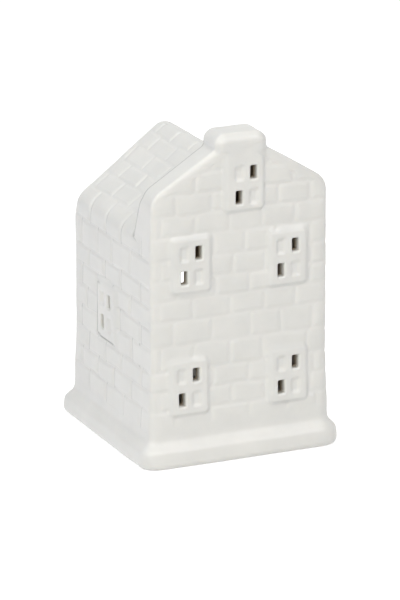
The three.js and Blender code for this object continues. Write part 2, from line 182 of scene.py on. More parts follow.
def lattice(start: float, stop: float, step: float, fixed: Iterable[float] = (),
            fine: Iterable[float] = (), clear: float = 0.26) -> Array:
    """Rising grid lines between two ends.

    Args:
        start: the first line.
        stop: the last line.
        step: the widest gap allowed.
        fixed: lines that have to be there.
        fine: lines wanted where none is nearer than clear.
        clear: that distance.

    Returns:
        All lines; a gap wider than step is divided evenly.
    """
    lines = sorted({start, stop, *(v for v in fixed if start + 0.05 < v < stop - 0.05)})
    for wanted in fine:
        if start < wanted < stop and min(abs(wanted - v) for v in lines) >= clear:
            lines.append(wanted)
    lines = np.array(sorted(lines))
    spans = [np.linspace(a, b, max(1, math.ceil((b - a) / step - 1e-6)) + 1)[:-1]
             for a, b in zip(lines[:-1], lines[1:])]
    return np.concatenate([*spans, lines[-1:]])


def with_spares(lines: Array) -> Array:
    """Grid lines with a spare one outside each end, for normals across a seam."""
    return np.concatenate([[lines[0] - SPARE], lines, [lines[-1] + SPARE]])


def filleted(corners: Sequence[Sequence[float]], steps: int = 40) -> Array:
    """Points along an open outline whose inner corners are rounded.

    Args:
        corners: rows of across, up and corner radius.
        steps: points on each arc.

    Returns:
        The outline's points in order. Each arc's centre lies on the bisector, a
        radius over the sine of half the corner's angle away from the corner.
    """
    spots = np.array([c[:2] for c in corners], float)
    pieces = [spots[:1]]
    for before, here, after, corner in zip(spots, spots[1:], spots[2:], corners[1:]):
        back, ahead = unit(before - here), unit(after - here)
        half = math.acos(float(np.clip(back @ ahead, -1, 1))) / 2
        centre = here + unit(back + ahead) * corner[2] / math.sin(half)
        reach = corner[2] / math.tan(half)
        ends = [here + back * reach - centre, here + ahead * reach - centre]
        first, last = (math.atan2(e[1], e[0]) for e in ends)
        turn = (last - first + math.pi) % TAU - math.pi
        angle = first + turn * np.linspace(0, 1, steps + 1)
        pieces.append(centre + corner[2] * np.stack([np.cos(angle), np.sin(angle)], 1))
    return np.concatenate([*pieces, spots[-1:]])


@dataclass(frozen=True)
class Waves:
    """Slow unevenness of a hand finished casting.

    A sum of cosines with random directions, wavelengths and phases, scaled so that
    its standard deviation is height.
    """

    seed: int
    length: float
    height: float
    count: int = 14

    def at(self, points: Array) -> Array:
        """Height of the unevenness at points of any grid shape."""
        random = np.random.default_rng(self.seed)
        ways = unit(random.normal(size=(self.count, 3)))
        spans = self.length * random.uniform(0.7, 1.6, self.count)
        phases = random.uniform(0, TAU, self.count)
        angles = points @ (TAU * ways / spans[:, None]).T + phases
        return self.height * math.sqrt(2.0 / self.count) * np.cos(angles).sum(-1)


WOBBLE = Waves(seed=11, length=34.0, height=0.13)
RIPPLE = Waves(seed=12, length=9.0, height=0.035)
DRIFT = (Waves(seed=13, length=15.0, height=0.22), Waves(seed=14, length=15.0, height=0.2))
SWELL = Waves(seed=31, length=13.0, height=0.05)

# Heights between which the unevenness is lowered, at the foot and at the top
BEAD_CALM, BLOCK_CALM = (24.0, 10.0), (139.0, 142.5)


def unevenness(points: Array) -> Array:
    """Outward unevenness of the casting, which only sinks in at its outermost places.

    The waves are limited softly with a hyperbolic tangent. Round the bead and at the
    top of the block they are lowered by that limit, so that the overall size holds.
    """
    limit, height = 0.2, points[..., 2]
    waves = limit * np.tanh((WOBBLE.at(points) + RIPPLE.at(points)) / limit)
    return waves - limit * np.maximum(smooth(*BEAD_CALM, height), smooth(*BLOCK_CALM, height))


# Outlines of the house


@dataclass(frozen=True)
class Foot:
    """Flare and rolled bead at the foot of the walls."""

    flare: float = 1.7
    flare_top: float = 38.0
    bead: float = 4.2
    shoulder: float = 9.6
    softness: float = 1.0
    radius: float = 2.8

    def overhang(self, height: Array) -> Array:
        """How far the walls stand out at a height.

        A flare that grows evenly downwards, a bead that swells along a logistic
        curve, less the quarter circle that rounds the lowest edge.
        """
        share = 1.0 - height / self.flare_top
        flare = self.flare * 0.5 * (share + np.sqrt(share * share + 0.002))
        bead = self.bead / (1.0 + np.exp((height - self.shoulder) / self.softness))
        return flare + bead - roll_off(height, self.radius)


@dataclass(frozen=True)
class Hall:
    """Cross-section of walls and roof."""

    eave: float = 99.5
    ridge: float = 130.4
    eave_radius: float = 9.0
    ridge_radius: float = 5.5

    def outline(self, inset: float = 0.0) -> Array:
        """Section from the right foot over the ridge to the left foot, inset inwards."""
        slope = math.atan2(self.ridge - self.eave, HALF_WIDTH)
        drop = inset / math.cos(slope)
        x, eave = HALF_WIDTH - inset, self.eave + inset * math.tan(slope) - drop
        corner = self.eave_radius - inset
        return filleted([[x, -5, 0], [x, eave, corner],
                         [0, self.ridge - drop, self.ridge_radius - inset],
                         [-x, eave, corner], [-x, -5, 0]])

    def half_width(self, height: Array, inset: float = 0.0) -> Array:
        """Half the width of the section at a height, and zero above its ridge."""
        points = self.outline(inset)
        right = points[: len(points) // 2 + 1]
        return np.interp(height, right[:, 1], right[:, 0], right=0.0)

    def inward(self, x: Array, z: Array) -> Array:
        """Distance below the straight line of the roof's slope."""
        rise = (self.ridge - self.eave) / HALF_WIDTH
        return (self.ridge - rise * np.abs(x) - z) * math.cos(math.atan(rise))

    def along(self, length: Array) -> tuple:
        """Points and outward directions at a length of outline above the right foot."""
        points = self.outline()
        places = length - points[0, 1]
        return walk(points, places), outward_along(points, places, NEAR)


@dataclass(frozen=True)
class Gable:
    """Outline of the front gable with the block on top of it."""

    shoulder: float = 118.5
    rise: float = 0.6
    shoulder_radius: float = 9.0
    block_centre: float = 0.7
    block_half: float = 12.1
    block_top: float = 143.5
    block_radius: tuple = (5.0, 5.4)
    fillet: float = 2.8

    def half_outline(self, side: Side, inset: float = 0.0) -> Array:
        """One side from the foot to the middle of the block's top, inset inwards."""
        drop = inset / math.cos(math.atan(self.rise))
        x = HALF_WIDTH - inset
        block = self.block_half + side.value * self.block_centre - inset
        slope_at = lambda across: self.shoulder + self.rise * (HALF_WIDTH - across) - drop
        radius = self.block_radius[0 if side is Side.LEFT else 1]
        return filleted([[x, -5, 0],
                         [x, slope_at(x), max(1.5, self.shoulder_radius - inset)],
                         [block, slope_at(block), self.fillet],
                         [block, self.block_top - inset, max(1.5, radius - inset)],
                         [0.0, self.block_top - inset, 0]])

    def half_width(self, height: Array, side: Side, inset: float = 0.0) -> Array:
        """Distance of the outline from the middle plane at a height, on one side."""
        points = self.half_outline(side, inset)[:-1]
        return np.interp(height, points[:, 1], points[:, 0])

    def stretch(self, height: Array, side: Side) -> Array:
        """How many times wider a rim is when measured level: one over the outline's tilt."""
        change = self.half_width(height + NEAR, side) - self.half_width(height - NEAR, side)
        return np.hypot(1.0, change / (2 * NEAR))


FOOT, HALL, GABLE = Foot(), Hall(), Gable()
PARAPET_HEIGHTS = [95.0, 97.5, 100.0, 104.0, 107.9, 112.9, 117.0, 128.0, 135.0, 138.0]
PARAPET_DEPTHS = [14.0, 20.2, 19.7, 18.1, 16.5, 14.3, 12.3, 12.9, 13.8, 14.1]


def parapet_back(height: Array) -> Array:
    """Y of the parapet's back face: it leans back and spreads down to the eave."""
    return -HALF_DEPTH + np.interp(height, PARAPET_HEIGHTS, PARAPET_DEPTHS)


# Relief


@dataclass(frozen=True)
class Masonry:
    """Courses of brick in low relief: beds by height, heads of each course by distance.

    line is the strength of the fine dark line of painted shade in the joints, against the
    brick before a head joint and under the brick above a bed joint. head_line and
    bed_line are its place and width there.
    """

    beds: tuple
    heads: tuple
    seed: int
    line: float = 0.0
    depth: float = 0.34
    width: float = 1.2
    corner: float = 1.9
    uneven: float = 0.06
    crown: float = 0.12
    crown_reach: float = 3.0
    ends: tuple = (-40.0, 150.0)
    tilt_reach: tuple = (9.0, 5.0)
    head_line: tuple = (0.65, 0.65)
    bed_line: tuple = (0.4, 0.5)
    bed_strength: float = 0.7

    def lines(self) -> list:
        """Heights of the lattice lines that show the bed joints."""
        return [bed + off for off in (0.0, 0.5, -0.5, 1.1, -1.1) for bed in self.beds[1:-1]]

    def at(self, along: Array, height: Array) -> tuple:
        """Relief and joint cover at places on the wall.

        Inside its brick a place has a distance to the rounded rectangle of joints.
        The joint is a Gaussian trough of that distance, and between joints the brick
        stands at a level and tilt of its own and is crowned towards its middle.

        Args:
            along: distance from the wall's first corner.
            height: height, or the length of outline on a roof.

        Returns:
            Outward relief, and how far a place is in a joint from 0 to 1, or in its
            dark line from 0 to -1.
        """
        spots = spread(along, height, 0.0)
        along, height = along + DRIFT[0].at(spots), height + DRIFT[1].at(spots)
        first, last = self.ends
        beds, most = np.array(self.beds, float), max(map(len, self.heads)) + 2
        table = np.array([[first, *row, *[last] * (most - 1 - len(row))] for row in self.heads])
        course = np.clip(np.searchsorted(beds, height) - 1, 0, len(self.heads) - 1)
        passed = table[course] <= along[..., None]
        left = np.where(passed, table[course], first).max(-1)
        right = np.where(passed, last, table[course]).min(-1)
        low, high = beds[course], beds[course + 1]
        x, z = along - (left + right) / 2, height - (low + high) / 2
        brick = (right - left) / 2, (high - low) / 2
        inside = np.maximum(-rounded_box_distance(x, z, brick, self.corner), 0.0)
        joint = bell(inside, 0.0, self.width)
        random = np.random.default_rng(self.seed).normal(size=(len(self.heads), most + 1, 3))
        level, turn, lean = np.moveaxis(random[course, passed.sum(-1)], -1, 0)
        turn = 0.5 * turn * np.clip(x / self.tilt_reach[0], -1.5, 1.5)
        face = self.uneven * (level + turn + 0.4 * lean * z / self.tilt_reach[1])
        face = face + self.crown * (1.0 - np.exp(-inside / self.crown_reach))
        # Painted shade: a fine dark line against the brick before a head joint and under a bed joint
        dark = self.line * np.maximum(bell(right - along, *self.head_line),
                                      self.bed_strength * bell(height - low, *self.bed_line))
        return (1.0 - joint) * face - self.depth * joint, joint * (1 - dark) - dark


FRONT_MASONRY = Masonry(
    beds=(14.5, 24.5, 33.0, 42.0, 53.0, 64.0, 73.0, 82.0, 91.0, 101.0, 110.0, 119.0, 128.0, 139.0),
    heads=((10.3, 28, 45.3, 63, 77), (3.7, 20, 37, 53, 74), (12, 28.5, 45.3, 61, 76),
           (4.2, 20, 36.4, 51.5, 73), (10.3, 28, 45.9, 60.3, 75.3),
           (3.7, 19.2, 36.4, 52.5, 67.2), (12, 29.8, 45.3, 60, 74), (4, 20, 37.6, 53, 74),
           (12, 29, 43.3, 58, 74), (4.2, 20.3, 36.4, 51, 66.4), (11.4, 28, 43, 58.8, 73.5),
           (20.3, 37, 66), (28, 54)), seed=21, line=0.2, depth=0.42)
SIDE_BEDS = (14.5, 24.6, 33.2, 41.8, 51.7, 61.0, 70.5, 79.0, 91.0)
SIDE_MASONRY = Masonry(
    beds=(*SIDE_BEDS, 106.9, 115.6, 124.4, 133.1, 141.9, 150.6, 162.0),
    heads=((10.6, 29.4, 48.3, 66.5), (21.7, 40.2, 57.8, 75), (11.1, 32.2, 50.6, 69.1),
           (22.2, 41, 59, 76.9), (12.2, 34.4, 52, 70.4), (22.5, 41, 59, 76),
           (12.2, 33, 50.6, 67.8), (22.2, 42.2, 58.6, 76), (11.5, 33, 50, 66.8),
           (23, 41, 58, 75.5), (32, 49.5, 67.5), (23, 41, 58, 76), (32, 49, 67.5),
           (23, 41, 59, 75), (40, 60)), seed=22, line=0.85, depth=0.42,
    width=0.85, corner=1.4, uneven=0.1)
REAR_BRICK = 16.2
REAR_MASONRY = Masonry(
    beds=(*SIDE_BEDS, 101.0, 110.0, 119.0, 128.0),
    heads=tuple(tuple(HALF_WIDTH + (c + (row % 2) / 2) * REAR_BRICK for c in (-2, -1, 0, 1, 2))
                for row in range(12)), seed=23)


# Windows


@dataclass(frozen=True)
class Window:
    """A raised plate with two pierced and two blind panes.

    The pierced ones are upper right and lower left as seen from outside, which is
    towards rising along when facing is 1 and towards falling along when it is -1.
    """

    name: str
    along: float
    height: float
    facing: int = 1
    shift: tuple = (0.0, 0.0)
    plate: tuple = (8.8, 11.9)
    plate_at: tuple = (0.0, 0.0)
    plate_radius: float = 2.0
    proud: float = 1.2
    pane: tuple = (1.6, 3.05)
    pane_radius: float = 0.7
    pane_at: tuple = (3.35, 5.25)
    blind: tuple = (2.55, 3.7)
    blind_radius: float = 1.7
    blind_depth: float = 1.0
    seat: float = 0.9
    soft: tuple = (2.2, -1.6)
    crisp: tuple = (1.3, -1.1)
    fade: tuple = (6.0, 0.6)
    groove: float = 0.0
    turn: float = 0.0

    @property
    def on_pad(self) -> bool:
        """Whether the plate runs up to the gable's block, so that it is part of the pad."""
        return self.plate_at[1] > 0

    @property
    def depth(self) -> float:
        """Depth of the plate's seat below the plain form, which has the gable's pad in it."""
        return self.seat + (self.proud if self.on_pad else 0.0)

    @property
    def lattice_centre(self) -> tuple:
        """Place of the panes' middle on the unwarped lattice."""
        return self.along - self.shift[0], self.height - self.shift[1]

    def plate_distance(self, along: Array, height: Array) -> Array:
        """Signed distance to the plate's outline."""
        return rounded_box_distance(along - self.along - self.plate_at[0],
                                    height - self.height - self.plate_at[1], self.plate,
                                    self.plate_radius)

    def raised(self, distance: Array, along: Array, height: Array) -> Array:
        """Height of the plate over the wall: a ramp round its outline.

        The modelling tool left it soft above and towards the corner that along counts
        from, and crisp below and on the other side: the share of the crisp ramp is a
        hyperbolic tangent of the place along that diagonal.
        """
        diagonal = (along - self.along) / self.plate[0] - (height - self.height) / self.plate[1]
        share = 0.5 + 0.5 * np.tanh(2.0 * (diagonal - self.turn))
        soft, crisp = (smooth(*ramp, distance) for ramp in (self.soft, self.crisp))
        return self.proud * (soft * (1 - share) + crisp * share)

    def spots(self, pierced: bool) -> list:
        """Middles of the two pierced or the two blind panes, from the window's own."""
        turn = self.facing if pierced else -self.facing
        return [(sign * turn * self.pane_at[0], sign * self.pane_at[1]) for sign in (1, -1)]

    def panes(self, along: Array, height: Array) -> Array:
        """Relief of the panes: rolled rims round the holes and soft blind hollows."""
        across, up, sunk = along - self.along, height - self.height, 0.0
        for x, z in self.spots(True):
            hole = rounded_box_distance(across - x, up - z, self.pane, self.pane_radius)
            sunk = sunk - roll_off(hole, 0.5) + 0.1 * bell(hole, 0.9, 0.6)
        for x, z in self.spots(False):
            hollow = rounded_box_distance(across - x, up - z, self.blind, self.blind_radius)
            sunk = sunk - self.blind_depth * smooth(0.4, -1.9, hollow)
        return sunk

    def snap(self, along: Array, height: Array) -> tuple:
        """Moves grid points on the corners of the holes onto their rounded outline."""
        radius, near = self.pane_radius, 0.01
        for middle in self.spots(True):
            x, z = along - self.along - middle[0], height - self.height - middle[1]
            ox, oz = (np.abs(v) - (half - radius) for v, half in zip((x, z), self.pane))
            reach = np.hypot(ox, oz)
            corner = (np.minimum(ox, oz) > 1e-6) & (np.maximum(ox, oz) < radius + near) & (reach > radius)
            change = np.where(corner, radius / np.maximum(reach, 1e-6) - 1.0, 0.0)
            along, height = along + np.sign(x) * ox * change, height + np.sign(z) * oz * change
        return along, height

    def nudge(self, along: Array, height: Array) -> tuple:
        """Shift of the lattice that brings its window lines onto this window.

        The shift is full over the plate and fades to nothing 6 mm outside it.
        """
        share = 1.0
        for place, middle, at, half in zip((along, height), self.lattice_centre, self.plate_at, self.plate):
            share = share * smooth(*(half + out for out in self.fade), np.abs(place - middle - at))
        return self.shift[0] * share, self.shift[1] * share

    def lines(self) -> tuple:
        """Lattice lines that the window needs: fixed and fine, across and up."""
        both = lambda middle, offsets: [middle + s * v for v in offsets for s in (-1, 1)]
        found = []
        for centre, at, half, edge, shift in zip(self.lattice_centre, self.pane_at, self.pane,
                                                 self.plate, self.plate_at):
            near, far, middle = at - half, at + half, centre + shift
            fine = [*both(middle, (edge - 0.5, edge + 0.5, edge + 1.0, edge - 1.1)),
                    *both(centre, (near + 0.25, far - 0.25, far + 0.35, near - 0.35))]
            found.append(([*both(centre, (near, far)), *both(middle, (edge,))], fine))
        return tuple(found)

    def cells(self, along: Array, height: Array) -> tuple:
        """Which cells of the lattice belong to this window.

        Args:
            along: the lattice's lines across, before any warp.
            height: its lines up.

        Returns:
            True for the cells of the plate, and for those of them that aren't pierced.
        """
        x, z = ((lines[1:] + lines[:-1]) / 2 - middle
                for lines, middle in zip((along, height), self.lattice_centre))
        within = lambda at, half: (np.abs(z - at[1]) < half[1])[:, None] & (np.abs(x - at[0]) < half[0])
        plate = within(self.plate_at, self.plate)
        upper, lower = (within(spot, self.pane) for spot in self.spots(True))
        return plate, plate & ~upper & ~lower


FRONT_WINDOWS = (
    Window("upper_left_window", 18.2, 88.1, shift=(0.6, 0.9)),
    Window("upper_right_window", 63.0, 86.3, shift=(-0.2, -0.9)),
    Window("lower_left_window", 17.0, 34.3, shift=(-0.6, 0.15)),
    Window("lower_right_window", 63.4, 34.0, shift=(0.2, -0.15)),
    Window("gable_window", 43.5, 120.5, plate=(8.85, 13.75), plate_at=(-0.85, 2.75)),
)
GABLE_WINDOW = FRONT_WINDOWS[4]
SIDE_WINDOWS = {
    side: Window(name, 46.9, 56.5, facing=facing, plate=(9.8, 12.6), proud=1.35, soft=(2.6, -1.8),
                 crisp=(0.2, -0.8), groove=0.85, turn=0.5, pane_at=(3.8, 5.25))
    for side, name, facing in ((Side.LEFT, "left_side_window", -1),
                               (Side.RIGHT, "right_side_window", 1))}


# Meshes


def placed(name: str, data: bpy.types.ID) -> bpy.types.Object:
    """A new object in the scene."""
    made = bpy.data.objects.new(name, data)
    bpy.context.scene.collection.objects.link(made)
    return made


def fetched(items: bpy.types.bpy_prop_collection, name: str, kind: type = float) -> Array:
    """A property with three values of every item, as rows."""
    values = np.empty(len(items) * 3, kind)
    items.foreach_get(name, values)
    return values.reshape(-1, 3)


@dataclass
class Cast:
    """Faces collected for one piece.

    inside tells glaze from bare clay: 0 on the outer face and 1 on the inner one.
    joint is how deep a point lies in a joint. A zero normal is left to the mesh.
    """

    points: list = field(default_factory=list)
    corners: list = field(default_factory=list)
    normals: list = field(default_factory=list)
    inside: list = field(default_factory=list)
    joint: list = field(default_factory=list)
    count: int = 0

    def add(self, points: Array, quads: Array, normals: Optional[Array] = None,
            inside: Array = 0.0, joint: Array = 0.0) -> int:
        """Adds a grid of points and four cornered faces that count from its first.

        Args:
            points: X, Y and Z in millimetres.
            quads: rows of four indices.
            normals: a normal for each point, or none.
            inside: value of inside for each point, or one for all.
            joint: value of joint in the same way.

        Returns:
            The index of the first point in the piece.
        """
        start, points = self.count, points.reshape(-1, 3)
        self.points.append(points)
        self.bridge(quads + start, None if normals is None else normals.reshape(-1, 3)[quads])
        self.inside.append(np.full(len(points), np.ravel(inside)))
        self.joint.append(np.full(len(points), np.ravel(joint)))
        self.count += len(points)
        return start

    def bridge(self, quads: Array, normals: Optional[Array] = None) -> None:
        """Adds faces between points of the piece, with a normal for each corner or none."""
        self.corners.append(quads)
        self.normals.append(np.zeros((*quads.shape, 3)) if normals is None else normals)

    def mesh(self, name: str, crease: float = 38.0) -> bpy.types.Object:
        """Makes the piece: points that coincide are joined and empty faces left out.

        Args:
            name: name of the object and its mesh.
            crease: angle in degrees past which an edge without given normals is sharp.

        Returns:
            The new object, linked to the scene.
        """
        points = np.concatenate(self.points)
        corners, normals = np.concatenate(self.corners), np.concatenate(self.normals)
        _, first, merged = np.unique(np.round(points / JOINED).astype(np.int64), axis=0,
                                     return_index=True, return_inverse=True)
        corners = merged.reshape(-1)[corners]
        same = corners == np.roll(corners, -1, 1)
        crossed = (corners[:, 0] == corners[:, 2]) | (corners[:, 1] == corners[:, 3])
        whole, three = ((same.sum(1) == spare) & ~crossed for spare in (0, 1))
        rows = np.flatnonzero(three)[:, None]
        pick = (np.argmax(same[three], 1)[:, None] + [[1, 2, 3]]) % 4
        loops = np.concatenate([corners[whole].ravel(), corners[rows, pick].ravel()])
        given = np.concatenate([normals[whole].reshape(-1, 3), normals[rows, pick].reshape(-1, 3)])
        sizes = np.repeat([4, 3], [whole.sum(), three.sum()])
        used, loops = np.unique(loops, return_inverse=True)
        mesh, kept, starts = bpy.data.meshes.new(name), first[used], np.cumsum(sizes) - sizes
        for items, label, values in ((mesh.vertices, "co", (points[kept] * MM).astype(np.float32)),
                                     (mesh.loops, "vertex_index", loops.reshape(-1).astype(np.int32)),
                                     (mesh.polygons, "loop_start", starts.astype(np.int32))):
            items.add(len(values))
            items.foreach_set(label, values.ravel())
        mesh.update(calc_edges=True)
        mesh.shade_smooth()
        for label, values in (("inside", self.inside), ("joint", self.joint)):
            layer = mesh.attributes.new(label, "FLOAT", "POINT")
            layer.data.foreach_set("value", np.concatenate(values)[kept].astype(np.float32))
        mesh.set_sharp_from_angle(angle=math.radians(crease))
        if np.any(given):
            mesh.normals_split_custom_set(unit(given))
        return placed(name, mesh)

    def solid(self, name: str, crease: float = 38.0) -> bpy.types.Object:
        """Makes a closed piece, turned over if its signed volume is negative."""
        piece = self.mesh(name, crease)
        mesh = piece.data
        mesh.calc_loop_triangles()
        corners = fetched(mesh.loop_triangles, "vertices", np.int32)
        a, b, c = fetched(mesh.vertices, "co")[corners.T]
        if np.einsum("ij,ij->", a, np.cross(b, c)) < 0:
            mesh.flip_normals()
        return piece


def grid_quads(index: Array, keep: Optional[Array] = None) -> Array:
    """Faces of a grid of point indices, in rows that rise and columns to the right."""
    quads = np.stack([index[:-1, :-1], index[:-1, 1:], index[1:, 1:], index[1:, :-1]], -1)
    return quads.reshape(-1, 4) if keep is None else quads[keep]


def numbered(points: Array, closed: Sequence[int] = ()) -> Array:
    """Indices of a grid's points, with the first line again at the end of closed axes."""
    index = np.arange(points.shape[0] * points.shape[1]).reshape(points.shape[:2])
    for axis in closed:
        index = np.concatenate([index, index.take([0], axis)], axis)
    return index


def add_shell(cast: Cast, outer: Array, inner: Array, cells: Array, normals: Optional[Array] = None,
              joint: Optional[Array] = None, wrap: bool = False, sealed: bool = False,
              depths: tuple = (0.0, 1.0)) -> None:
    """Adds a closed wall between two surfaces on the same grid.

    Only the lines that its cells need are added. The cells of both surfaces are
    joined by a strip along every edge where a cell meets one that isn't there.

    Args:
        cast: the piece that takes the faces.
        outer: points of the outer surface, by rows and columns.
        inner: points of the inner surface.
        cells: which cells are there.
        normals: normals of the outer surface.
        joint: how deep its points lie in a joint.
        wrap: whether the last column is followed by the first.
        sealed: whether the last row closes on itself, so that it needs no strip.
        depths: values of inside on the outer and the inner surface.
    """
    rows, columns = np.flatnonzero(cells.any(1)), np.flatnonzero(cells.any(0))
    part, grid = ((slice(rows[0], rows[-1] + more), slice(columns[0], columns[-1] + more))
                  for more in (1, 2))
    keep, index = cells[part], numbered(outer[grid], (1,) if wrap else ())
    quads = grid_quads(index, keep)
    a = index + cast.add(outer[grid], quads, None if normals is None else normals[grid], depths[0],
                         0.0 if joint is None else joint[grid])
    b = index + cast.add(inner[grid], quads[:, ::-1], None, depths[1])
    tall = np.concatenate([keep[:1] & False, keep, keep[-1:] & sealed])
    wide = np.concatenate([keep[:, -1:] & wrap, keep, keep[:, :1] & wrap], 1)
    strips = [spread(a[:, 1:], a[:, :-1], b[:, :-1], b[:, 1:])[tall[1:] & ~tall[:-1]],
              spread(a[:, :-1], a[:, 1:], b[:, 1:], b[:, :-1])[tall[:-1] & ~tall[1:]],
              spread(a[:-1], a[1:], b[1:], b[:-1])[wide[:, 1:] & ~wide[:, :-1]],
              spread(a[1:], a[:-1], b[:-1], b[1:])[wide[:, :-1] & ~wide[:, 1:]]]
    cast.bridge(np.concatenate(strips))


# Values of inside on a window's seat and on its plate, and the gap between the two
# inside mixes in the clay colour, which is partly painted shade
SEAT_DEPTHS, PLATE_DEPTHS, SEAT_GAP = (0.15, 0.5), (0.0, 0.12), 0.03


@dataclass
class Skin:
    """One wall of the casting on a grid: outer and inner surface, normals and joints."""

    outer: Array
    inner: Array
    normals: Array
    joint: Array
    base: Array
    base_normals: Array

    @staticmethod
    def relieve(base: Array, inner: Array, relief: Callable, crop: tuple,
                mend: Callable = lambda normals: normals) -> "Skin":
        """Raises a base surface along its normals and adds the casting's unevenness.

        Args:
            base: points of the plain surface, with spare lines round it.
            inner: points of the inner surface on the same grid.
            relief: gives outward relief and joint cover for the base points.
            crop: slices that take the spare lines off, for rows and columns.
            mend: corrects the normals where the grid turns a sharp corner.

        Returns:
            The skin, with normals worked out before the spare lines are cut off.
        """
        facing = mend(grid_normals(base))
        height, joint = relief(base)
        outer = base + facing * (height + unevenness(base))[..., None]
        normals = mend(grid_normals(outer))
        return Skin(*(part[crop] for part in (outer, inner, normals, joint, base, facing)))

    def wall(self, cast: Cast, cells: Array, **ends: bool) -> None:
        """Adds the wall between both surfaces; ends says whether it wraps or is sealed."""
        add_shell(cast, self.outer, self.inner, cells, self.normals, self.joint, **ends)

    def seat(self, cast: Cast, window: Window, cells: Array) -> None:
        """Adds the wall behind a window plate, down to the depth of its seat."""
        seat = self.base - self.base_normals * window.depth
        add_shell(cast, seat, self.inner, cells, depths=SEAT_DEPTHS)

    def plate(self, window: Window, cells: Array, glaze: bpy.types.Material) -> None:
        """Makes the window plate that is let into the wall."""
        cast = Cast()
        back = self.base - self.base_normals * (window.depth - SEAT_GAP)
        add_shell(cast, self.outer, back, cells, self.normals, self.joint, depths=PLATE_DEPTHS)
        install_glazed(cast.mesh(window.name + "_plate"), window.name, glaze)


# Finishes


class Nodes:
    """Shorthand for building one node tree."""

    def __init__(self, owner: bpy.types.ID) -> None:
        """Opens an empty tree in a material or a world."""
        owner.use_nodes = True
        self.owner, self.tree = owner, owner.node_tree
        self.tree.nodes.clear()

    @classmethod
    def material(cls, name: str) -> "Nodes":
        """The tree of a new material."""
        return cls(bpy.data.materials.new(name))

    def add(self, kind: str, inputs: Optional[dict] = None, **settings: object) -> bpy.types.Node:
        """Adds a node, sets its properties, and sets or links its inputs."""
        node = self.tree.nodes.new("ShaderNode" + kind)
        for name, value in settings.items():
            setattr(node, name, value)
        for name, value in (inputs or {}).items():
            self.put(node.inputs[name], value)
        return node

    def put(self, socket: bpy.types.NodeSocket, value: object) -> None:
        """Links an output to an input, or sets the input's own value."""
        if isinstance(value, bpy.types.NodeSocket):
            self.tree.links.new(value, socket)
        else:
            socket.default_value = value

    def value(self, name: str) -> bpy.types.NodeSocket:
        """A number kept on the piece's points."""
        return self.add("Attribute", attribute_name=name).outputs["Fac"]

    def noise(self, scale: float, detail: float = 3.0, roughness: float = 0.5,
              stretch: Optional[tuple] = None) -> bpy.types.NodeSocket:
        """Noise over the object, with scale, and stretch by axis, in features to the metre."""
        place = self.add("TexCoord").outputs["Object"]
        if stretch:
            place = self.add("Mapping", {"Vector": place, "Scale": stretch}).outputs["Vector"]
        return self.add("TexNoise", {"Vector": place, "Scale": scale, "Detail": detail,
                                     "Roughness": roughness}).outputs["Fac"]

    def ramp(self, value: object, low: float, high: float, start: float = 0.0,
             stop: float = 1.0) -> bpy.types.NodeSocket:
        """Maps a range evenly onto another and clips it there."""
        return self.add("MapRange", {"Value": value, "From Min": start, "From Max": stop,
                                     "To Min": low, "To Max": high}).outputs["Result"]

    def mix(self, share: object, first: object, second: object) -> bpy.types.NodeSocket:
        """Mixes two colours."""
        node = self.add("Mix", data_type="RGBA")
        sockets = [s for s in node.inputs if s.type == "RGBA" and s.enabled]
        factor = next(s for s in node.inputs if s.name == "Factor" and s.enabled and s.type == "VALUE")
        for socket, value in zip([factor, *sockets], (share, first, second)):
            self.put(socket, value)
        return next(s for s in node.outputs if s.enabled and s.type == "RGBA")

    def sums(self, kind: str, *values: object) -> bpy.types.NodeSocket:
        """A sum, product or other operation on two values, or on more one after another."""
        total = values[0]
        for value in values[1:]:
            node = self.add("Math", operation=kind)
            self.put(node.inputs[0], total)
            self.put(node.inputs[1], value)
            total = node.outputs[0]
        return total

    def bump(self, height: object, strength: float, distance: float) -> bpy.types.NodeSocket:
        """A bumped normal; distance is the relief's depth in metres."""
        return self.add("Bump", {"Height": height, "Strength": strength,
                                 "Distance": distance}).outputs["Normal"]

    def seen(self) -> bpy.types.NodeSocket:
        """One where the camera looks, also in a reflection or through glass, else zero."""
        path = self.add("LightPath").outputs
        rays = (path[kind] for kind in ("Is Camera Ray", "Is Glossy Ray", "Is Transmission Ray"))
        return self.sums("MAXIMUM", *rays)

    def finish(self, shader: str = "BsdfPrincipled", output: str = "OutputMaterial",
               **inputs: object) -> bpy.types.ID:
        """Ends in a shader whose inputs are named with _ for spaces."""
        last = self.add(shader, {name.replace("_", " "): value for name, value in inputs.items()})
        self.tree.links.new(last.outputs[0], self.add(output).inputs["Surface"])
        return self.owner


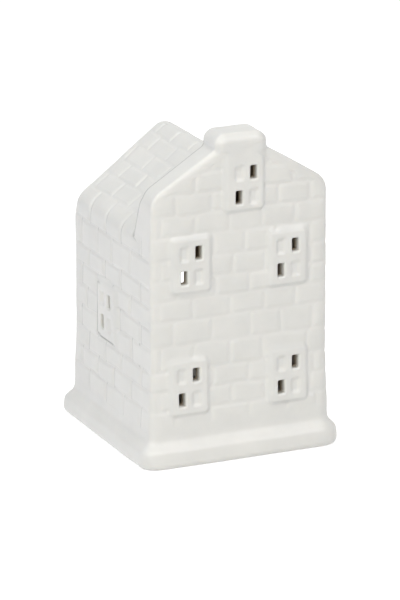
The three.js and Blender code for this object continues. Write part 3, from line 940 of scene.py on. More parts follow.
@dataclass(frozen=True)
class Glaze:
    """Clear glaze over white porcelain that turns to bare warm clay inside the walls; that clay is darker
    than the bare foot, partly painted shade.
    """

    face: tuple = (0.775, 0.772, 0.748, 1)
    thin: tuple = (0.735, 0.735, 0.715, 1)
    # joint: lighter colour in the joints, a painted highlight
    joint: tuple = (0.79, 0.787, 0.765, 1)
    # line: colour of the dark lines of painted shade in joints, at the side windows and behind the parapet
    line: tuple = (0.27, 0.27, 0.26, 1)
    # clay: the warm tone of bare clay, darkened beyond the foot's bare clay as painted shade inside the
    # house
    clay: tuple = (0.46, 0.385, 0.29, 1)
    speck: tuple = (0.45, 0.41, 0.35, 1)
    roughness: float = 0.3
    coat: float = 0.3
    coat_roughness: float = 0.14

    def material(self) -> bpy.types.Material:
        """Cloudy glaze, lighter in the joints as a painted highlight and with a grey line of painted shade,
        with orange peel.
        """
        n = Nodes.material("porcelain_glaze")
        body = n.mix(n.ramp(n.noise(70, 4, 0.6), 0.0, 1.0, 0.36, 0.66), self.thin, self.face)
        # Painted highlight: the joints are coloured lighter
        body = n.mix(n.ramp(n.value("joint"), 0.0, 0.55), body, self.joint)
        # Painted shade: the dark line where joint is negative
        body = n.mix(n.ramp(n.value("joint"), 0.85, 0.0, -1.0, 0.0), body, self.line)
        inside = n.ramp(n.value("inside"), 0.0, 1.0, 0.12, 0.8)
        # Bare clay inside the walls and on the window holes' jambs: its own warm tone, partly painted shade
        colour = n.mix(inside, body, self.clay)
        specks = n.ramp(n.noise(900, 2), 0.0, 1.0, 0.74, 0.8)
        colour = n.mix(n.sums("MULTIPLY", specks, 0.05), colour, self.speck)
        peel = n.sums("ADD", n.noise(420, 2), n.sums("MULTIPLY", n.noise(1500, 2), 0.25))
        rough = n.sums("ADD", n.ramp(n.noise(150, 3), self.roughness - 0.05, self.roughness + 0.08),
                       n.sums("MULTIPLY", inside, 0.45))
        return n.finish(Base_Color=colour, Roughness=rough, Normal=n.bump(peel, 0.22, 0.00006),
                        IOR=1.5, Coat_Weight=self.coat, Coat_Roughness=self.coat_roughness,
                        Subsurface_Weight=0.12, Subsurface_Radius=(0.004, 0.0032, 0.0024),
                        Subsurface_Scale=0.5)


@dataclass(frozen=True)
class Grained:
    """A finish of two colours under a fine grain.

    blend is where the noise of the colour turns from the first to the second. tint is
    that noise, as scale, detail and roughness, or else it is the grain itself.
    """

    name: str
    colours: tuple
    blend: tuple
    grain: tuple
    roughness: tuple
    bump: tuple
    tint: tuple = ()
    shading: dict = field(default_factory=dict)

    def material(self) -> bpy.types.Material:
        """Mottled colour, with roughness and a bump that follow the grain."""
        n = Nodes.material(self.name)
        grain = n.noise(*self.grain)
        tint = n.noise(*self.tint) if self.tint else grain
        return n.finish(Base_Color=n.mix(n.ramp(tint, 0, 1, *self.blend), *self.colours),
                        Roughness=n.ramp(grain, *self.roughness), Normal=n.bump(grain, *self.bump),
                        **self.shading)


BISCUIT = Grained("biscuit_clay", ((0.72, 0.69, 0.63, 1), (0.6, 0.56, 0.49, 1)), (0.35, 0.7),
                  (2600, 3, 0.7), (0.7, 0.92), (0.35, 0.0001), tint=(110, 5, 0.65))
PARAFFIN = Grained("paraffin", ((0.86, 0.84, 0.78, 1), (0.8, 0.785, 0.735, 1)), (0.38, 0.64),
                   (520, 5, 0.62), (0.34, 0.5), (0.25, 0.0001),
                   shading={"IOR": 1.44, "Subsurface_Weight": 0.5, "Subsurface_Scale": 0.6,
                            "Subsurface_Radius": (0.004, 0.0034, 0.0026)})
TINPLATE = Grained("tinned_steel", ((0.67, 0.67, 0.67, 1), (0.5, 0.5, 0.5, 1)), (0.45, 0.8),
                   (1.0, 4.0, 0.5, (300, 2600, 300)), (0.3, 0.5), (0.2, 0.00004),
                   shading={"Metallic": 1.0})


@dataclass(frozen=True)
class Foil:
    """Bright pressed aluminium of the tealight's cup."""

    colour: tuple = (0.79, 0.8, 0.81, 1)
    dull: tuple = (0.66, 0.67, 0.69, 1)

    def material(self) -> bpy.types.Material:
        """Drawn metal with fine upright streaks and small dents."""
        n = Nodes.material("pressed_foil")
        streak, dents = n.noise(1.0, stretch=(900, 900, 40)), n.noise(330, 3)
        relief = n.sums("ADD", n.sums("MULTIPLY", streak, 0.25), dents)
        return n.finish(Base_Color=n.mix(n.ramp(dents, 0, 1, 0.3, 0.75), self.colour, self.dull),
                        Metallic=1.0, Roughness=n.ramp(streak, 0.22, 0.42),
                        Normal=n.bump(relief, 0.3, 0.00012))


@dataclass(frozen=True)
class WaxedCotton:
    """Braided cotton stiffened with wax."""

    thread: tuple = (0.82, 0.78, 0.68, 1)
    gap: tuple = (0.58, 0.53, 0.43, 1)

    def material(self) -> bpy.types.Material:
        """Light threads with darker gaps, which are painted shade in the braid's hollows, and a fine fuzz.
        """
        n = Nodes.material("waxed_cotton")
        fuzz = n.noise(5200, 4, 0.7)
        # Painted shade: the gap colour where the joint value marks the braid's hollows
        colour = n.mix(n.ramp(n.value("joint"), 0.0, 0.9), self.thread, self.gap)
        colour = n.mix(n.ramp(fuzz, 0, 0.35, 0.4, 0.7), colour, self.gap)
        return n.finish(Base_Color=colour, Roughness=n.ramp(fuzz, 0.75, 0.95),
                        Normal=n.bump(fuzz, 0.4, 0.00006), Sheen_Weight=0.3)


class Finishes:
    """Every finish of the object, made once."""

    def __init__(self) -> None:
        """Makes the materials."""
        self.glaze, self.biscuit = Glaze().material(), BISCUIT.material()
        self.foil, self.wax = Foil().material(), PARAFFIN.material()
        self.tin, self.cotton = TINPLATE.material(), WaxedCotton().material()


def install(piece: bpy.types.Object, body: str, node: str, slot: Slot,
            *materials: bpy.types.Material) -> None:
    """Dresses a piece and puts it in the place of its CAD node.

    Args:
        piece: the finished mesh.
        body: the CAD body that it moves with.
        node: the CAD node that it stands for.
        slot: the record's slot of its finish; not used.
        materials: its materials.
    """
    for material in materials:
        piece.data.materials.append(material)
    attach(piece, body)
    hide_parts(node)
    LOG.info("%s: %d faces", piece.name, len(piece.data.polygons))


def install_glazed(piece: bpy.types.Object, node: str, *materials: bpy.types.Material) -> None:
    """Puts a piece of the casting in the place of its CAD node."""
    install(piece, "house", node, Slot.PORCELAIN, *materials)


# Porcelain


def plate_and_panes(window: Window, along: Array, height: Array) -> tuple:
    """Relief of one window, and how much of the wall's masonry is left round it.

    A side window has a thin groove along its rear and lower edges, a Gaussian trough
    just outside its outline, and a dark painted shadow line on the rear edge and
    under the lower one. Its numbers are places and widths in millimetres.

    Args:
        window: the window.
        along: distance from the wall's first corner.
        height: height above the table.

    Returns:
        The relief, the share of masonry left, and the cover of that line.
    """
    distance = window.plate_distance(along, height)
    across, up = along - window.along, height - window.height
    rear = smooth(4.0, 8.0, across) * smooth(14.0, 10.0, up)
    low = smooth(-6.0, -11.0, up) * smooth(-9.5, -4.0, across)
    groove = window.groove * np.maximum(rear, low) * bell(distance, 0.5, 0.42)
    # Painted shadow: a dark line on the plate's rear edge and under its lower edge
    line = np.maximum(rear * bell(distance, -1.0, 0.5), low * bell(distance, 0.4, 0.6))
    return (window.raised(distance, along, height) + window.panes(along, height) - groove,
            smooth(-0.2, 1.5, distance), line * (window.groove > 0))


# Where the masonry fades out, and what is left of it at the front corner and lost on the roof
FOOT_FADE, FACE_FOOT_FADE, RIDGE_FADE = (14.5, 17.5), (16.5, 20.5), (151.5, 147.5)
VERGE_FADE, CORNER_FADE, ROOF_RISE = (82.0, 77.0), (1.0, 5.0), (WALL_TOP + 5.0, WALL_TOP + 12.0)
CORNER_LEFT, ROOF_LOSS, ROOF_JOINT_LOSS, ROOF_LINE_LOSS = 0.35, 0.25, 0.4, 0.93


def side_relief(side: Side, y: Array, length: Array, with_window: bool = True) -> tuple:
    """Relief of a side wall and its roof slope.

    Args:
        side: which side.
        y: place along the house.
        length: length of the section's outline above the foot.
        with_window: whether the side window is on this stretch.

    Returns:
        Outward relief and joint cover, which fade into the plinth, the verge and the
        front corner.
    """
    along = y + HALF_DEPTH
    relief, joint = SIDE_MASONRY.at(along, length)
    fade = smooth(*FOOT_FADE, length) * smooth(*RIDGE_FADE, length) * smooth(*VERGE_FADE, along)
    fade = fade * (CORNER_LEFT + (1 - CORNER_LEFT) * smooth(*CORNER_FADE, along))
    roof = smooth(*ROOF_RISE, length)
    relief = relief * fade * (1 - ROOF_LOSS * roof)
    # On the roof the painted joint highlight fades a little and the painted shade line almost wholly
    joint = joint * fade * (1 - np.where(joint < 0, ROOF_LINE_LOSS, ROOF_JOINT_LOSS) * roof)
    if with_window:
        raised, left, line = plate_and_panes(SIDE_WINDOWS[side], along, length)
        # line is the window's painted shadow line
        relief, joint = relief * left + raised, joint * left * (1 - line) - line
    return relief, joint


def gable_pad(x: Array, z: Array, inward: Array) -> Array:
    """Rise of the pad that makes the gable's block and window plate one proud face.

    The pad is the union of the plate and of the block's face, with their outlines
    blended over 2 mm, and it fades where the gable's rim rolls off. It is part of the
    plain form, so that both pieces that share it move it straight forwards.
    """
    block = rounded_box_distance(x - GABLE.block_centre, z - 148.0, (GABLE.block_half - 0.2, 13.2), 3.0)
    plate = GABLE_WINDOW.plate_distance(x + HALF_WIDTH, np.minimum(z, GABLE_WINDOW.height + 2.0))
    share = np.clip(0.5 + 0.25 * (plate - block), 0.0, 1.0)
    union = plate * (1 - share) + block * share - 2.0 * share * (1 - share)
    return GABLE_WINDOW.raised(union, x + HALF_WIDTH, z) * smooth(-0.3, 2.4, inward)


def facade_relief(x: Array, z: Array, inward: Array) -> tuple:
    """Relief of the facade: masonry inside a smooth border, and five window plates.

    Args:
        x: place across.
        z: height.
        inward: distance inside the gable's outline.

    Returns:
        Outward relief and joint cover.
    """
    along = x + HALF_WIDTH
    relief, joint = FRONT_MASONRY.at(along, z)
    border = np.maximum(smooth(2.6, 4.9, inward), smooth(112.5, 108.5, z))
    left = border * smooth(*FACE_FOOT_FADE, z) * smooth(BLOCK_SEAT, 133.0, z)
    left = left * smooth(0.45, 0.0, gable_pad(x, z, inward))
    raised = GABLE_WINDOW.panes(along, z)
    for window in FRONT_WINDOWS[:4]:
        plate, free, _ = plate_and_panes(window, along, z)
        raised, left = raised + plate, left * free
    return relief * left + raised, joint * left


def gable_inward(points: Array) -> Array:
    """Distance inside the gable's outline, measured level and divided by its stretch."""
    px, pz = points[..., 0], points[..., 2]
    half, stretch = (np.where(px < 0, of(pz, Side.LEFT), of(pz, Side.RIGHT))
                     for of in (GABLE.half_width, GABLE.stretch))
    return (half + FOOT.overhang(pz) - np.abs(px)) / stretch


def squeeze(place: Array, fixed: Array, reach: float, limit: Array) -> Array:
    """Draws lattice lines in: places up to fixed stay, and reach comes to limit."""
    size = np.abs(place)
    beyond = fixed + (size - fixed) * (limit - fixed) / (reach - fixed)
    return np.sign(place) * np.where(size <= fixed, size, beyond)


def flanked(left: Array, face: Array, right: Array) -> Array:
    """A face between its flanks; the right one's columns run the other way."""
    return np.concatenate([left, face, right[:, ::-1]], 1)


def fold(columns: Sequence[int], back: Array, front: Array, rims: Sequence[Array]) -> tuple:
    """Columns over a back face, its rolled rim, the flank and the front's rolled rim.

    Args:
        columns: how many lines each of the four takes.
        back: Y of the back face in each row.
        front: Y of the front face.
        rims: width of the back rim, then width and depth of the front rim.

    Returns:
        Share of the way over the back face, inset from the outline, Y, and how far a
        column has turned from the flank towards the front.
    """
    t, u = shares(columns[0]), shares(columns[2])
    angle, turn = shares(columns[1], QUARTER), shares(columns[3], QUARTER)
    rear, wide, deep = rims
    return (join(t, 1 + 0 * angle, 1 + 0 * u, 1 + 0 * turn),
            join(rear + 0 * t, rear * (1 - np.sin(angle)), 0 * u, wide * (1 - np.cos(turn))),
            join(back + 0 * t, back - rear * (1 - np.cos(angle)),
                 back - rear + (front + deep - back + rear) * u, front + deep * (1 - np.sin(turn))),
            join(0 * back + 0 * t, 0 * angle, 0 * u, np.sin(turn) ** 2))


@dataclass(frozen=True)
class FrontGable:
    """The facade with its flanks, the parapet behind it and the window plates on it.

    Each level row of the grid runs from the middle of the parapet's back round the
    left flank, over the facade and round the right flank to the back again. Its dark
    line of painted shade, along the parapet's back rim, lies between two distances
    from the parapet's back.
    """

    step: float = 0.5
    columns: tuple = (8, 4, 17, 7)
    room_top: float = 125.8
    hollow: float = 10.5
    still: float = 13.0
    still_inside: tuple = (30.0, 12.0)
    still_change: tuple = (103.0, 108.0)
    rim_foot: tuple = (95.5, 99.5)
    line_foot: tuple = (95.5, 98.5)
    corner_foot: tuple = (95.5, 97.5)
    flank_top: tuple = (101.0, 96.5)
    line_ends: tuple = ((-2.2, -1.2), (-0.1, -0.6))

    def _lines(self) -> tuple:
        """Lattice lines across the facade, and up it with one spare at each end."""
        found = [window.lines() for window in FRONT_WINDOWS]
        (fixed_x, fixed_z), (fine_x, fine_z) = (
            [[v for lines in found for v in lines[axis][kind]] for axis in (0, 1)] for kind in (0, 1))
        reach = HALF_WIDTH - FRONT_RIM
        across = lattice(-reach, reach, self.step, {round(v - HALF_WIDTH, 3) for v in fixed_x},
                         [v - HALF_WIDTH for v in fine_x])
        up = lattice(PLINTH_TOP, BLOCK_SEAT, self.step,
                     {round(v, 3) for v in fixed_z if v < BLOCK_SEAT - 0.1},
                     [*fine_z, *FRONT_MASONRY.lines()])
        return across, with_spares(up)

    def _opening(self, z: Array) -> Array:
        """Half the width of the opening from the room into the parapet's hollow."""
        return np.maximum(HALL.half_width(z, SHELL), 0.25)

    def _arm(self, side: Side, z: Array) -> tuple:
        """One flank with its part of the back, from the back's middle to the facade.

        Args:
            side: which side.
            z: rows of height, as a column.

        Returns:
            Points of the plain surface, and for each how far it has turned from the
            flank towards the facade, from 0 to 1.
        """
        over, end = FOOT.overhang(z), self._opening(z)
        rims = PARAPET_RIM * smooth(*self.rim_foot, z), FRONT_RIM + over, FRONT_RIM_DEPTH + over
        share, inset, y, turned = fold(self.columns, parapet_back(z), -HALF_DEPTH - over, rims)
        wide = GABLE.half_width(z, side) + over - inset * GABLE.stretch(z, side)
        return spread(side.value * (end + (wide - end) * share), y, z), turned

    def _inner_arm(self, side: Side, z: Array) -> Array:
        """Inner points of a flank: across the back wall's inside, then forwards."""
        end = self._opening(z)
        across = np.maximum(GABLE.half_width(z, side, SHELL) - end, 0)
        run = shares(sum(self.columns)) * (across + self.hollow - SHELL)
        x, y = end + np.minimum(run, across), self.hollow - HALF_DEPTH - np.maximum(run - across, 0)
        return spread(side.value * x, y, z)

    def skin(self) -> tuple:
        """The whole front member on its grid, and the facade's lattice lines."""
        across, up = self._lines()
        place, z = across[None], up[:, None]
        over, reach = FOOT.overhang(z), HALF_WIDTH - FRONT_RIM
        limit, inner_limit = (np.where(place < 0, *sides) for sides in (
            [GABLE.half_width(z, s) + over - (FRONT_RIM + over) * GABLE.stretch(z, s) for s in Side],
            [GABLE.half_width(z, s, SHELL) for s in Side]))
        wide, narrow = self.still_inside
        hold = wide + (narrow - wide) * smooth(*self.still_change, z)
        nudges = [window.nudge(place + HALF_WIDTH, z) for window in FRONT_WINDOWS]
        dx, dz = (sum(moves) for moves in zip(*nudges))
        grids = []
        for y, still, end in ((-HALF_DEPTH - over, self.still, limit),
                              (-HALF_DEPTH + SHELL, hold, inner_limit)):
            drawn = squeeze(place, np.minimum(still, end - 0.9), reach, end)
            along, height = drawn + dx + HALF_WIDTH, z + dz
            for window in FRONT_WINDOWS:
                along, height = window.snap(along, height)
            grids.append(spread(along - HALF_WIDTH, y, height))
        (left, turned_left), (right, turned_right) = (self._arm(side, z) for side in Side)
        base = flanked(left, grids[0], right)
        inner = flanked(self._inner_arm(Side.LEFT, z), grids[1], self._inner_arm(Side.RIGHT, z))
        share = flanked(turned_left, np.ones(grids[0].shape[:2]), turned_right)
        base[..., 1] -= gable_pad(base[..., 0], base[..., 2], gable_inward(base)) * share

        def relief(points: Array) -> tuple:
            """Facade and flank relief, blended round the corner between them."""
            px, py, pz = np.moveaxis(points, -1, 0)
            front, front_joint = facade_relief(px, pz, gable_inward(points))
            flank, flank_joint = side_relief(Side.LEFT, py, pz, False)
            plain = smooth(*self.flank_top, pz) * (np.abs(px) > HALF_WIDTH - 0.5)
            start, stop = (smooth(*ends, py - parapet_back(pz)) for ends in self.line_ends)
            # Painted shade: a dark line along the parapet's back rim, from the eave up
            line = start * stop * smooth(*self.line_foot, pz)
            flank_joint = flank_joint * plain * (1 - line) - line
            return (front * share + flank * plain * (1 - share),
                    front_joint * share + flank_joint * (1 - share))

        def mend(normals: Array) -> Array:
            """Gives the sharp back corner below the parapet the flank's normal."""
            start, corner = self.columns[0], sum(self.columns[:2])
            keep = smooth(*self.corner_foot, z)[..., None]
            for view in (normals, normals[:, ::-1]):
                near = view[:, corner + 1: corner + 2] * (1 - keep)
                view[:, start: corner + 1] = view[:, start: corner + 1] * keep + near
            return unit(normals)

        return Skin.relieve(base, inner, relief, (slice(1, -1), slice(None)), mend), across, up[1:-1]

    def build(self, finishes: Finishes) -> None:
        """Makes the front member and the five plates that are let into it."""
        skin, across, up = self.skin()
        keep = np.ones((len(up) - 1, skin.outer.shape[1]), bool)
        keep[(up[1:] + up[:-1]) / 2 < self.room_top, -1] = False
        before = sum(self.columns)
        margins = ((0, 0), (before, keep.shape[1] - before - len(across) + 1))
        sheets = []
        for window in FRONT_WINDOWS:
            plate, sheet = (np.pad(cells, margins) for cells in window.cells(across + HALF_WIDTH, up))
            sheets.append(sheet)
            keep &= ~plate
        cast = Cast()
        skin.wall(cast, keep, wrap=True)
        for window, cells in zip(FRONT_WINDOWS, sheets):
            skin.seat(cast, window, cells)
        install_glazed(cast.mesh("gable_front"), "front_gable", finishes.glaze)
        for window, cells in zip(FRONT_WINDOWS, sheets):
            skin.plate(window, cells, finishes.glaze)


@dataclass(frozen=True)
class GableBlock:
    """The block on the gable: its outline swept from back to front with rolled rims.

    Rows follow the outline from the left seat over the top to the right seat, and
    columns run from the middle of the back over the top to the middle of the face.
    """

    columns: tuple = (12, 9, 18, 9)
    rows: int = 42
    spare: float = 0.5
    upright: tuple = (BLOCK_SEAT + 1.0, BLOCK_SEAT + 2.5)
    closing: float = 0.998
    pad_slope: float = 6.0

    def _outline(self, side: Side) -> tuple:
        """Points and inward directions of one side from the seat to the top."""
        full = GABLE.half_outline(side)
        run = lengths(full)
        low, seat = np.interp((BLOCK_SEAT - self.spare, BLOCK_SEAT), full[:, 1], run)
        places = np.concatenate([[low], np.linspace(seat, run[-1], self.rows)])
        points = walk(full, places)
        share = smooth(*self.upright, points[:, 1:])
        level = spread(-GABLE.stretch(points[:, 1], side), 0.0)
        sign = np.array([side.value, 1.0])
        return points * sign, (level * (1 - share) - outward_along(full, places, NEAR) * share) * sign

    def build(self, finishes: Finishes) -> None:
        """Makes the block as one closed surface."""
        outline, inward = (np.concatenate([left, right[-2::-1]])
                           for left, right in zip(*(self._outline(side) for side in Side)))
        centre = np.tile([GABLE.block_centre, BLOCK_SEAT], (len(outline), 1))
        centre[[0, -1], 1] -= self.spare
        share, inset, y, facing = fold(self.columns, parapet_back(outline[:, 1:]), -HALF_DEPTH,
                                       (PARAPET_RIM, FRONT_RIM, FRONT_RIM_DEPTH))
        v = np.linspace(0, 1, self.columns[0] + 1)[None]
        towards = join(1 - share, v) * self.closing
        inset, y, facing = (join(run, end + 0 * v) for run, end in
                            ((inset, FRONT_RIM), (y, -HALF_DEPTH), (facing, 1.0)))
        spots = outline[:, None] + inward[:, None] * inset[..., None]
        x, z = np.moveaxis(spots + (centre[:, None] - spots) * towards[..., None], -1, 0)
        base = spread(x, y - gable_pad(x, z, inset + self.pad_slope * towards) * facing, z)
        plain = lambda points: (0.0, np.zeros(points.shape[:2]))
        skin = Skin.relieve(base, base, plain, (slice(1, -1), slice(None)))
        outer, index = skin.outer, numbered(skin.outer)
        outer[:, 0], outer[:, -1] = outer[:, 0].mean(0), outer[:, -1].mean(0)
        cast = Cast()
        cast.add(outer, grid_quads(index), skin.normals)
        cast.bridge(grid_quads(index[[-1, 0]]))
        install_glazed(cast.solid("gable_block_cap"), "gable_block", finishes.glaze)


@dataclass(frozen=True)
class SideWall:
    """One side wall with its window, and the roof slope above it.

    Rows run up the cross-section to the ridge, and columns along the house, to the
    right as seen from outside. On the roof the front ones reach on into the parapet.
    """

    side: Side
    step: float = 0.38
    rise_step: float = 0.5
    reach: float = -3.3
    reach_foot: tuple = (95.5, 98.5)
    crease: float = 0.8
    crease_foot: tuple = (96.0, 99.0)

    def _lines(self) -> tuple:
        """Lattice lines along the house and up the section, with spares outside them."""
        (fixed_y, fine_y), (fixed_z, fine_z) = SIDE_WINDOWS[self.side].lines()
        fixed_y, fine_y = ([v - HALF_DEPTH for v in lines] for lines in (fixed_y, fine_y))
        along = lattice(FRONT_SEAM, REAR_SEAM, self.step, fixed_y,
                        [FRONT_SEAM + 0.3, REAR_SEAM - 0.3, *fine_y])
        outline = HALL.outline()
        top = float(lengths(outline)[-1] / 2 + outline[0, 1])
        up = lattice(PLINTH_TOP, top, self.rise_step, [*fixed_z, WALL_TOP],
                     [*fine_z, *SIDE_MASONRY.lines()])
        return with_spares(along)[::self.side.value], with_spares(up)

    def skin(self) -> tuple:
        """Wall and roof of this side on one grid, and its lattice lines."""
        along, up = self._lines()
        section, outward = HALL.along(up)
        height = up[:, None]
        over = FOOT.overhang(section[:, 1:]) * (height < WALL_TOP)
        share = np.clip((REAR_SEAM - along) / (REAR_SEAM - FRONT_SEAM), 0, 1.01)
        y = along + self.reach * smooth(*self.reach_foot, height) * share ** 3
        spots_y, spots_z = SIDE_WINDOWS[self.side].snap(y + HALF_DEPTH, height)
        moved = spots_z - height
        base, inner = (spread(self.side.value * line[:, :1], spots_y - HALF_DEPTH, line[:, 1:] + moved)
                       for line in (section + outward * over, section - outward * SHELL))

        def relief(points: Array) -> tuple:
            """Masonry, with a Gaussian groove where the roof runs into the parapet, darkened there as
            painted shade.
            """
            _, py, pz = np.moveaxis(points, -1, 0)
            raised, cover = side_relief(self.side, py, height + moved)
            groove = bell(py - parapet_back(pz), 0.5, 0.8) * smooth(*self.crease_foot, pz)
            # The groove's cover is negative: painted shade in the crease
            return raised - self.crease * groove, cover * (1 - groove) - groove

        return Skin.relieve(base, inner, relief, (slice(1, -1),) * 2), along[1:-1], up[1:-1]

    def build(self, finishes: Finishes) -> None:
        """Makes the wall, its window plate and the roof slope."""
        skin, along, up = self.skin()
        window, name = SIDE_WINDOWS[self.side], self.side.name.lower()
        plate, sheet = window.cells(along + HALF_DEPTH, up)
        wall = ((up[1:] + up[:-1]) / 2 < WALL_TOP)[:, None] | plate & False
        for part, cells in (("wall", wall & ~plate), ("roof", ~wall)):
            cast = Cast()
            skin.wall(cast, cells)
            if part == "wall":
                skin.seat(cast, window, sheet)
            install_glazed(cast.mesh(f"{name}_{part}_skin"), f"{name}_{part}", finishes.glaze)
        skin.plate(window, sheet, finishes.glaze)


@dataclass(frozen=True)
class RearWall:
    """The rear wall and gable with its arched doorway.

    Each row of the grid starts at the right seam, rolls over the verge and crosses
    the face, which is a lattice drawn in to the section's outline.
    """

    verge_depth: float = 5.5
    verge_rise: tuple = (90.0, 99.0)
    border: tuple = (2.8, 5.0)
    door_border: tuple = (2.2, 4.4)
    door_half: float = 21.5
    door_spring: float = 42.0
    door_rim: float = 1.5
    door_band: float = 0.35
    band_edge: tuple = (4.4, 3.0)
    warp_reach: float = 34.0
    step: float = 0.72
    rise_step: float = 0.68
    flank_lines: int = 5
    rim_lines: int = 9

    def _rows(self) -> tuple:
        """Inset outline points and normals for each row, from the foot to the ridge."""
        section = HALL.outline(REAR_RIM)
        right = section[: len(section) // 2 + 1]
        top = right[-1, 1]
        rows = lattice(PLINTH_TOP, top - 1.0, self.rise_step,
                       [self.door_spring, self.door_spring + self.door_half], REAR_MASONRY.lines())
        last = top - 1.0 + np.sin(np.linspace(0.12, 1.0, 12) * QUARTER)
        rows = np.concatenate([[PLINTH_TOP - SPARE], rows, last])
        rows[-1] = top
        x, places = (np.interp(rows, right[:, 1], values) for values in (right[:, 0], lengths(right)))
        outward = outward_along(section, places, 0.04)
        x[-1], outward[-1] = 0.0, (0.0, 1.0)
        return rows, x, outward

    def door_distance(self, x: Array, z: Array) -> Array:
        """Signed distance to the doorway: a half circle on top of straight jambs."""
        above = np.hypot(x, z - self.door_spring) - self.door_half
        return np.where(z > self.door_spring, above, np.abs(x) - self.door_half)

    def _warp(self, x: Array, z: Array) -> tuple:
        """Bends square rings round the arch to half circles, and less so further out."""
        up = z - self.door_spring
        far = np.maximum(np.abs(x), up)
        share = np.clip((far - self.door_half) / (self.warp_reach - self.door_half), 0, 1)
        pull = np.where(up > 0, far / np.maximum(np.hypot(x, up), 1e-6), 1.0)
        pull = pull + (1 - pull) * share
        return x * pull, self.door_spring + up * pull

    def build(self, finishes: Finishes) -> None:
        """Makes the rear wall with the doorway cut through it."""
        rows, inset_x, outward = self._rows()
        z, xi, way_x, way_z = rows[:, None], inset_x[:, None], outward[:, :1], outward[:, 1:]
        over = FOOT.overhang(z)
        shift, growth = (1 - REAR_GROWTH) * over, REAR_GROWTH * over
        radius = REAR_RIM + growth
        verge = (self.verge_depth - REAR_RIM_DEPTH) * smooth(*self.verge_rise, z)
        deep = REAR_RIM_DEPTH + verge + growth
        reach, limit = HALF_WIDTH - REAR_RIM, np.maximum(xi, 0.0) + shift
        lines = lattice(-reach, reach, self.step, [-self.door_half, self.door_half])
        x = squeeze(lines[None], np.minimum(self.door_half + 1.5, limit * 0.75), reach, limit)
        x, face_z = self._warp(x, z)
        u, angle = shares(self.flank_lines), shares(self.rim_lines, QUARTER)
        centre = HALF_DEPTH + over - deep
        grids = []
        for depth in (0 * over, SHELL + over):
            out = shift + (radius - depth) * join(1 + 0 * u, np.cos(angle))
            y = join(REAR_SEAM + (centre - REAR_SEAM) * u, centre + (deep - depth) * np.sin(angle))
            strip = spread(xi + out * way_x, y, z + out * way_z)
            face = spread(x, HALF_DEPTH + over - depth, face_z)
            grids.append(flanked(strip, face[:, ::-1], strip * (-1, 1, 1)))
        base, inner = grids
        turn = join(0 * u + 0 * z, np.sin(angle) ** 2)
        facing = flanked(turn, np.ones_like(x), turn)
        outline = rows[0] + lengths(spread(inset_x, rows) + REAR_RIM * outward)[:, None]

        def relief(points: Array) -> tuple:
            """Masonry of the face inside its smooth borders, and of the flanks."""
            px, py, pz = np.moveaxis(points, -1, 0)
            rear, joint = REAR_MASONRY.at(px + HALF_WIDTH, pz)
            door = self.door_distance(px, pz)
            left = smooth(*self.border, HALL.inward(px, pz)) * smooth(*FACE_FOOT_FADE, pz)
            left = left * smooth(*self.door_border, door)
            band = self.door_band * smooth(*self.band_edge, door)
            rear = rear * left + band - roll_off(door, self.door_rim)
            flank, flank_joint = side_relief(Side.LEFT, py, outline + 0 * px, False)
            return (rear * facing + flank * (1 - facing),
                    joint * left * facing + flank_joint * (1 - facing))

        skin = Skin.relieve(base, inner, relief, (slice(1, None), slice(None)))
        skin.outer[-1, :, 0] = 0.0
        door_z = (rows[2:] + rows[1:-1]) / 2 < self.door_spring + self.door_half
        door_x = np.abs((lines[1:] + lines[:-1]) / 2)[::-1] < self.door_half
        before = self.flank_lines + self.rim_lines
        keep = np.ones((skin.outer.shape[0] - 1, skin.outer.shape[1] - 1), bool)
        keep[:, before: before + len(door_x)] &= ~(door_z[:, None] & door_x)
        cast = Cast()
        skin.wall(cast, keep, sealed=True)
        install_glazed(cast.mesh("rear_gable_skin"), "rear_wall", finishes.glaze)


@dataclass(frozen=True)
class Plan:
    """Rounded rectangle of the walls, as rings of points that grow and shrink."""

    front: tuple = (FRONT_RIM, FRONT_RIM_DEPTH)
    rear: tuple = (REAR_RIM, REAR_RIM_DEPTH)
    corner_lines: int = 10
    edge_step: float = 1.15

    def ring(self, offset: Array) -> Array:
        """Rings of the plan grown by an offset.

        Every corner is a quarter ellipse, wider across the front and the back than
        along the sides. Its radii grow with the offset, at the rear by a share of it.
        The edges between the corners are divided evenly.

        Args:
            offset: growth of each ring, as a flat array.

        Returns:
            Points across and back, by rings and places anticlockwise from above.
        """
        offset = np.asarray(offset, float)[:, None]
        parts = []
        for quarter, (sx, sy) in enumerate(((1, -1), (1, 1), (-1, 1), (-1, -1))):
            growth = np.where((offset > 0) & (sy > 0), REAR_GROWTH, 1.0) * offset
            wide, deep = (np.maximum(size + growth, 0.5) for size in (self.front if sy < 0 else self.rear))
            angle = (quarter - 1 + np.linspace(0, 1, self.corner_lines + 1)[None]) * QUARTER
            x = sx * (HALF_WIDTH + offset - wide) + wide * np.cos(angle)
            y = sy * (HALF_DEPTH + offset - deep) + deep * np.sin(angle)
            parts.append(spread(x, y))
        count = int(2 * HALF_WIDTH / self.edge_step)
        share = np.linspace(0, 1, count + 1)[None, 1:-1, None]
        filled = []
        for here, after in zip(parts, parts[1:] + parts[:1]):
            filled += [here, here[:, -1:] * (1 - share) + after[:, :1] * share]
        return np.concatenate(filled, 1)

    def rings(self, offset: Array, height: Array, scale: Array = 1.0) -> Array:
        """Rings at their heights, drawn in towards the middle by a scale."""
        x, y = np.moveaxis(self.ring(offset), -1, 0) * np.reshape(scale, (-1, 1))
        return spread(x, y, height[:, None])


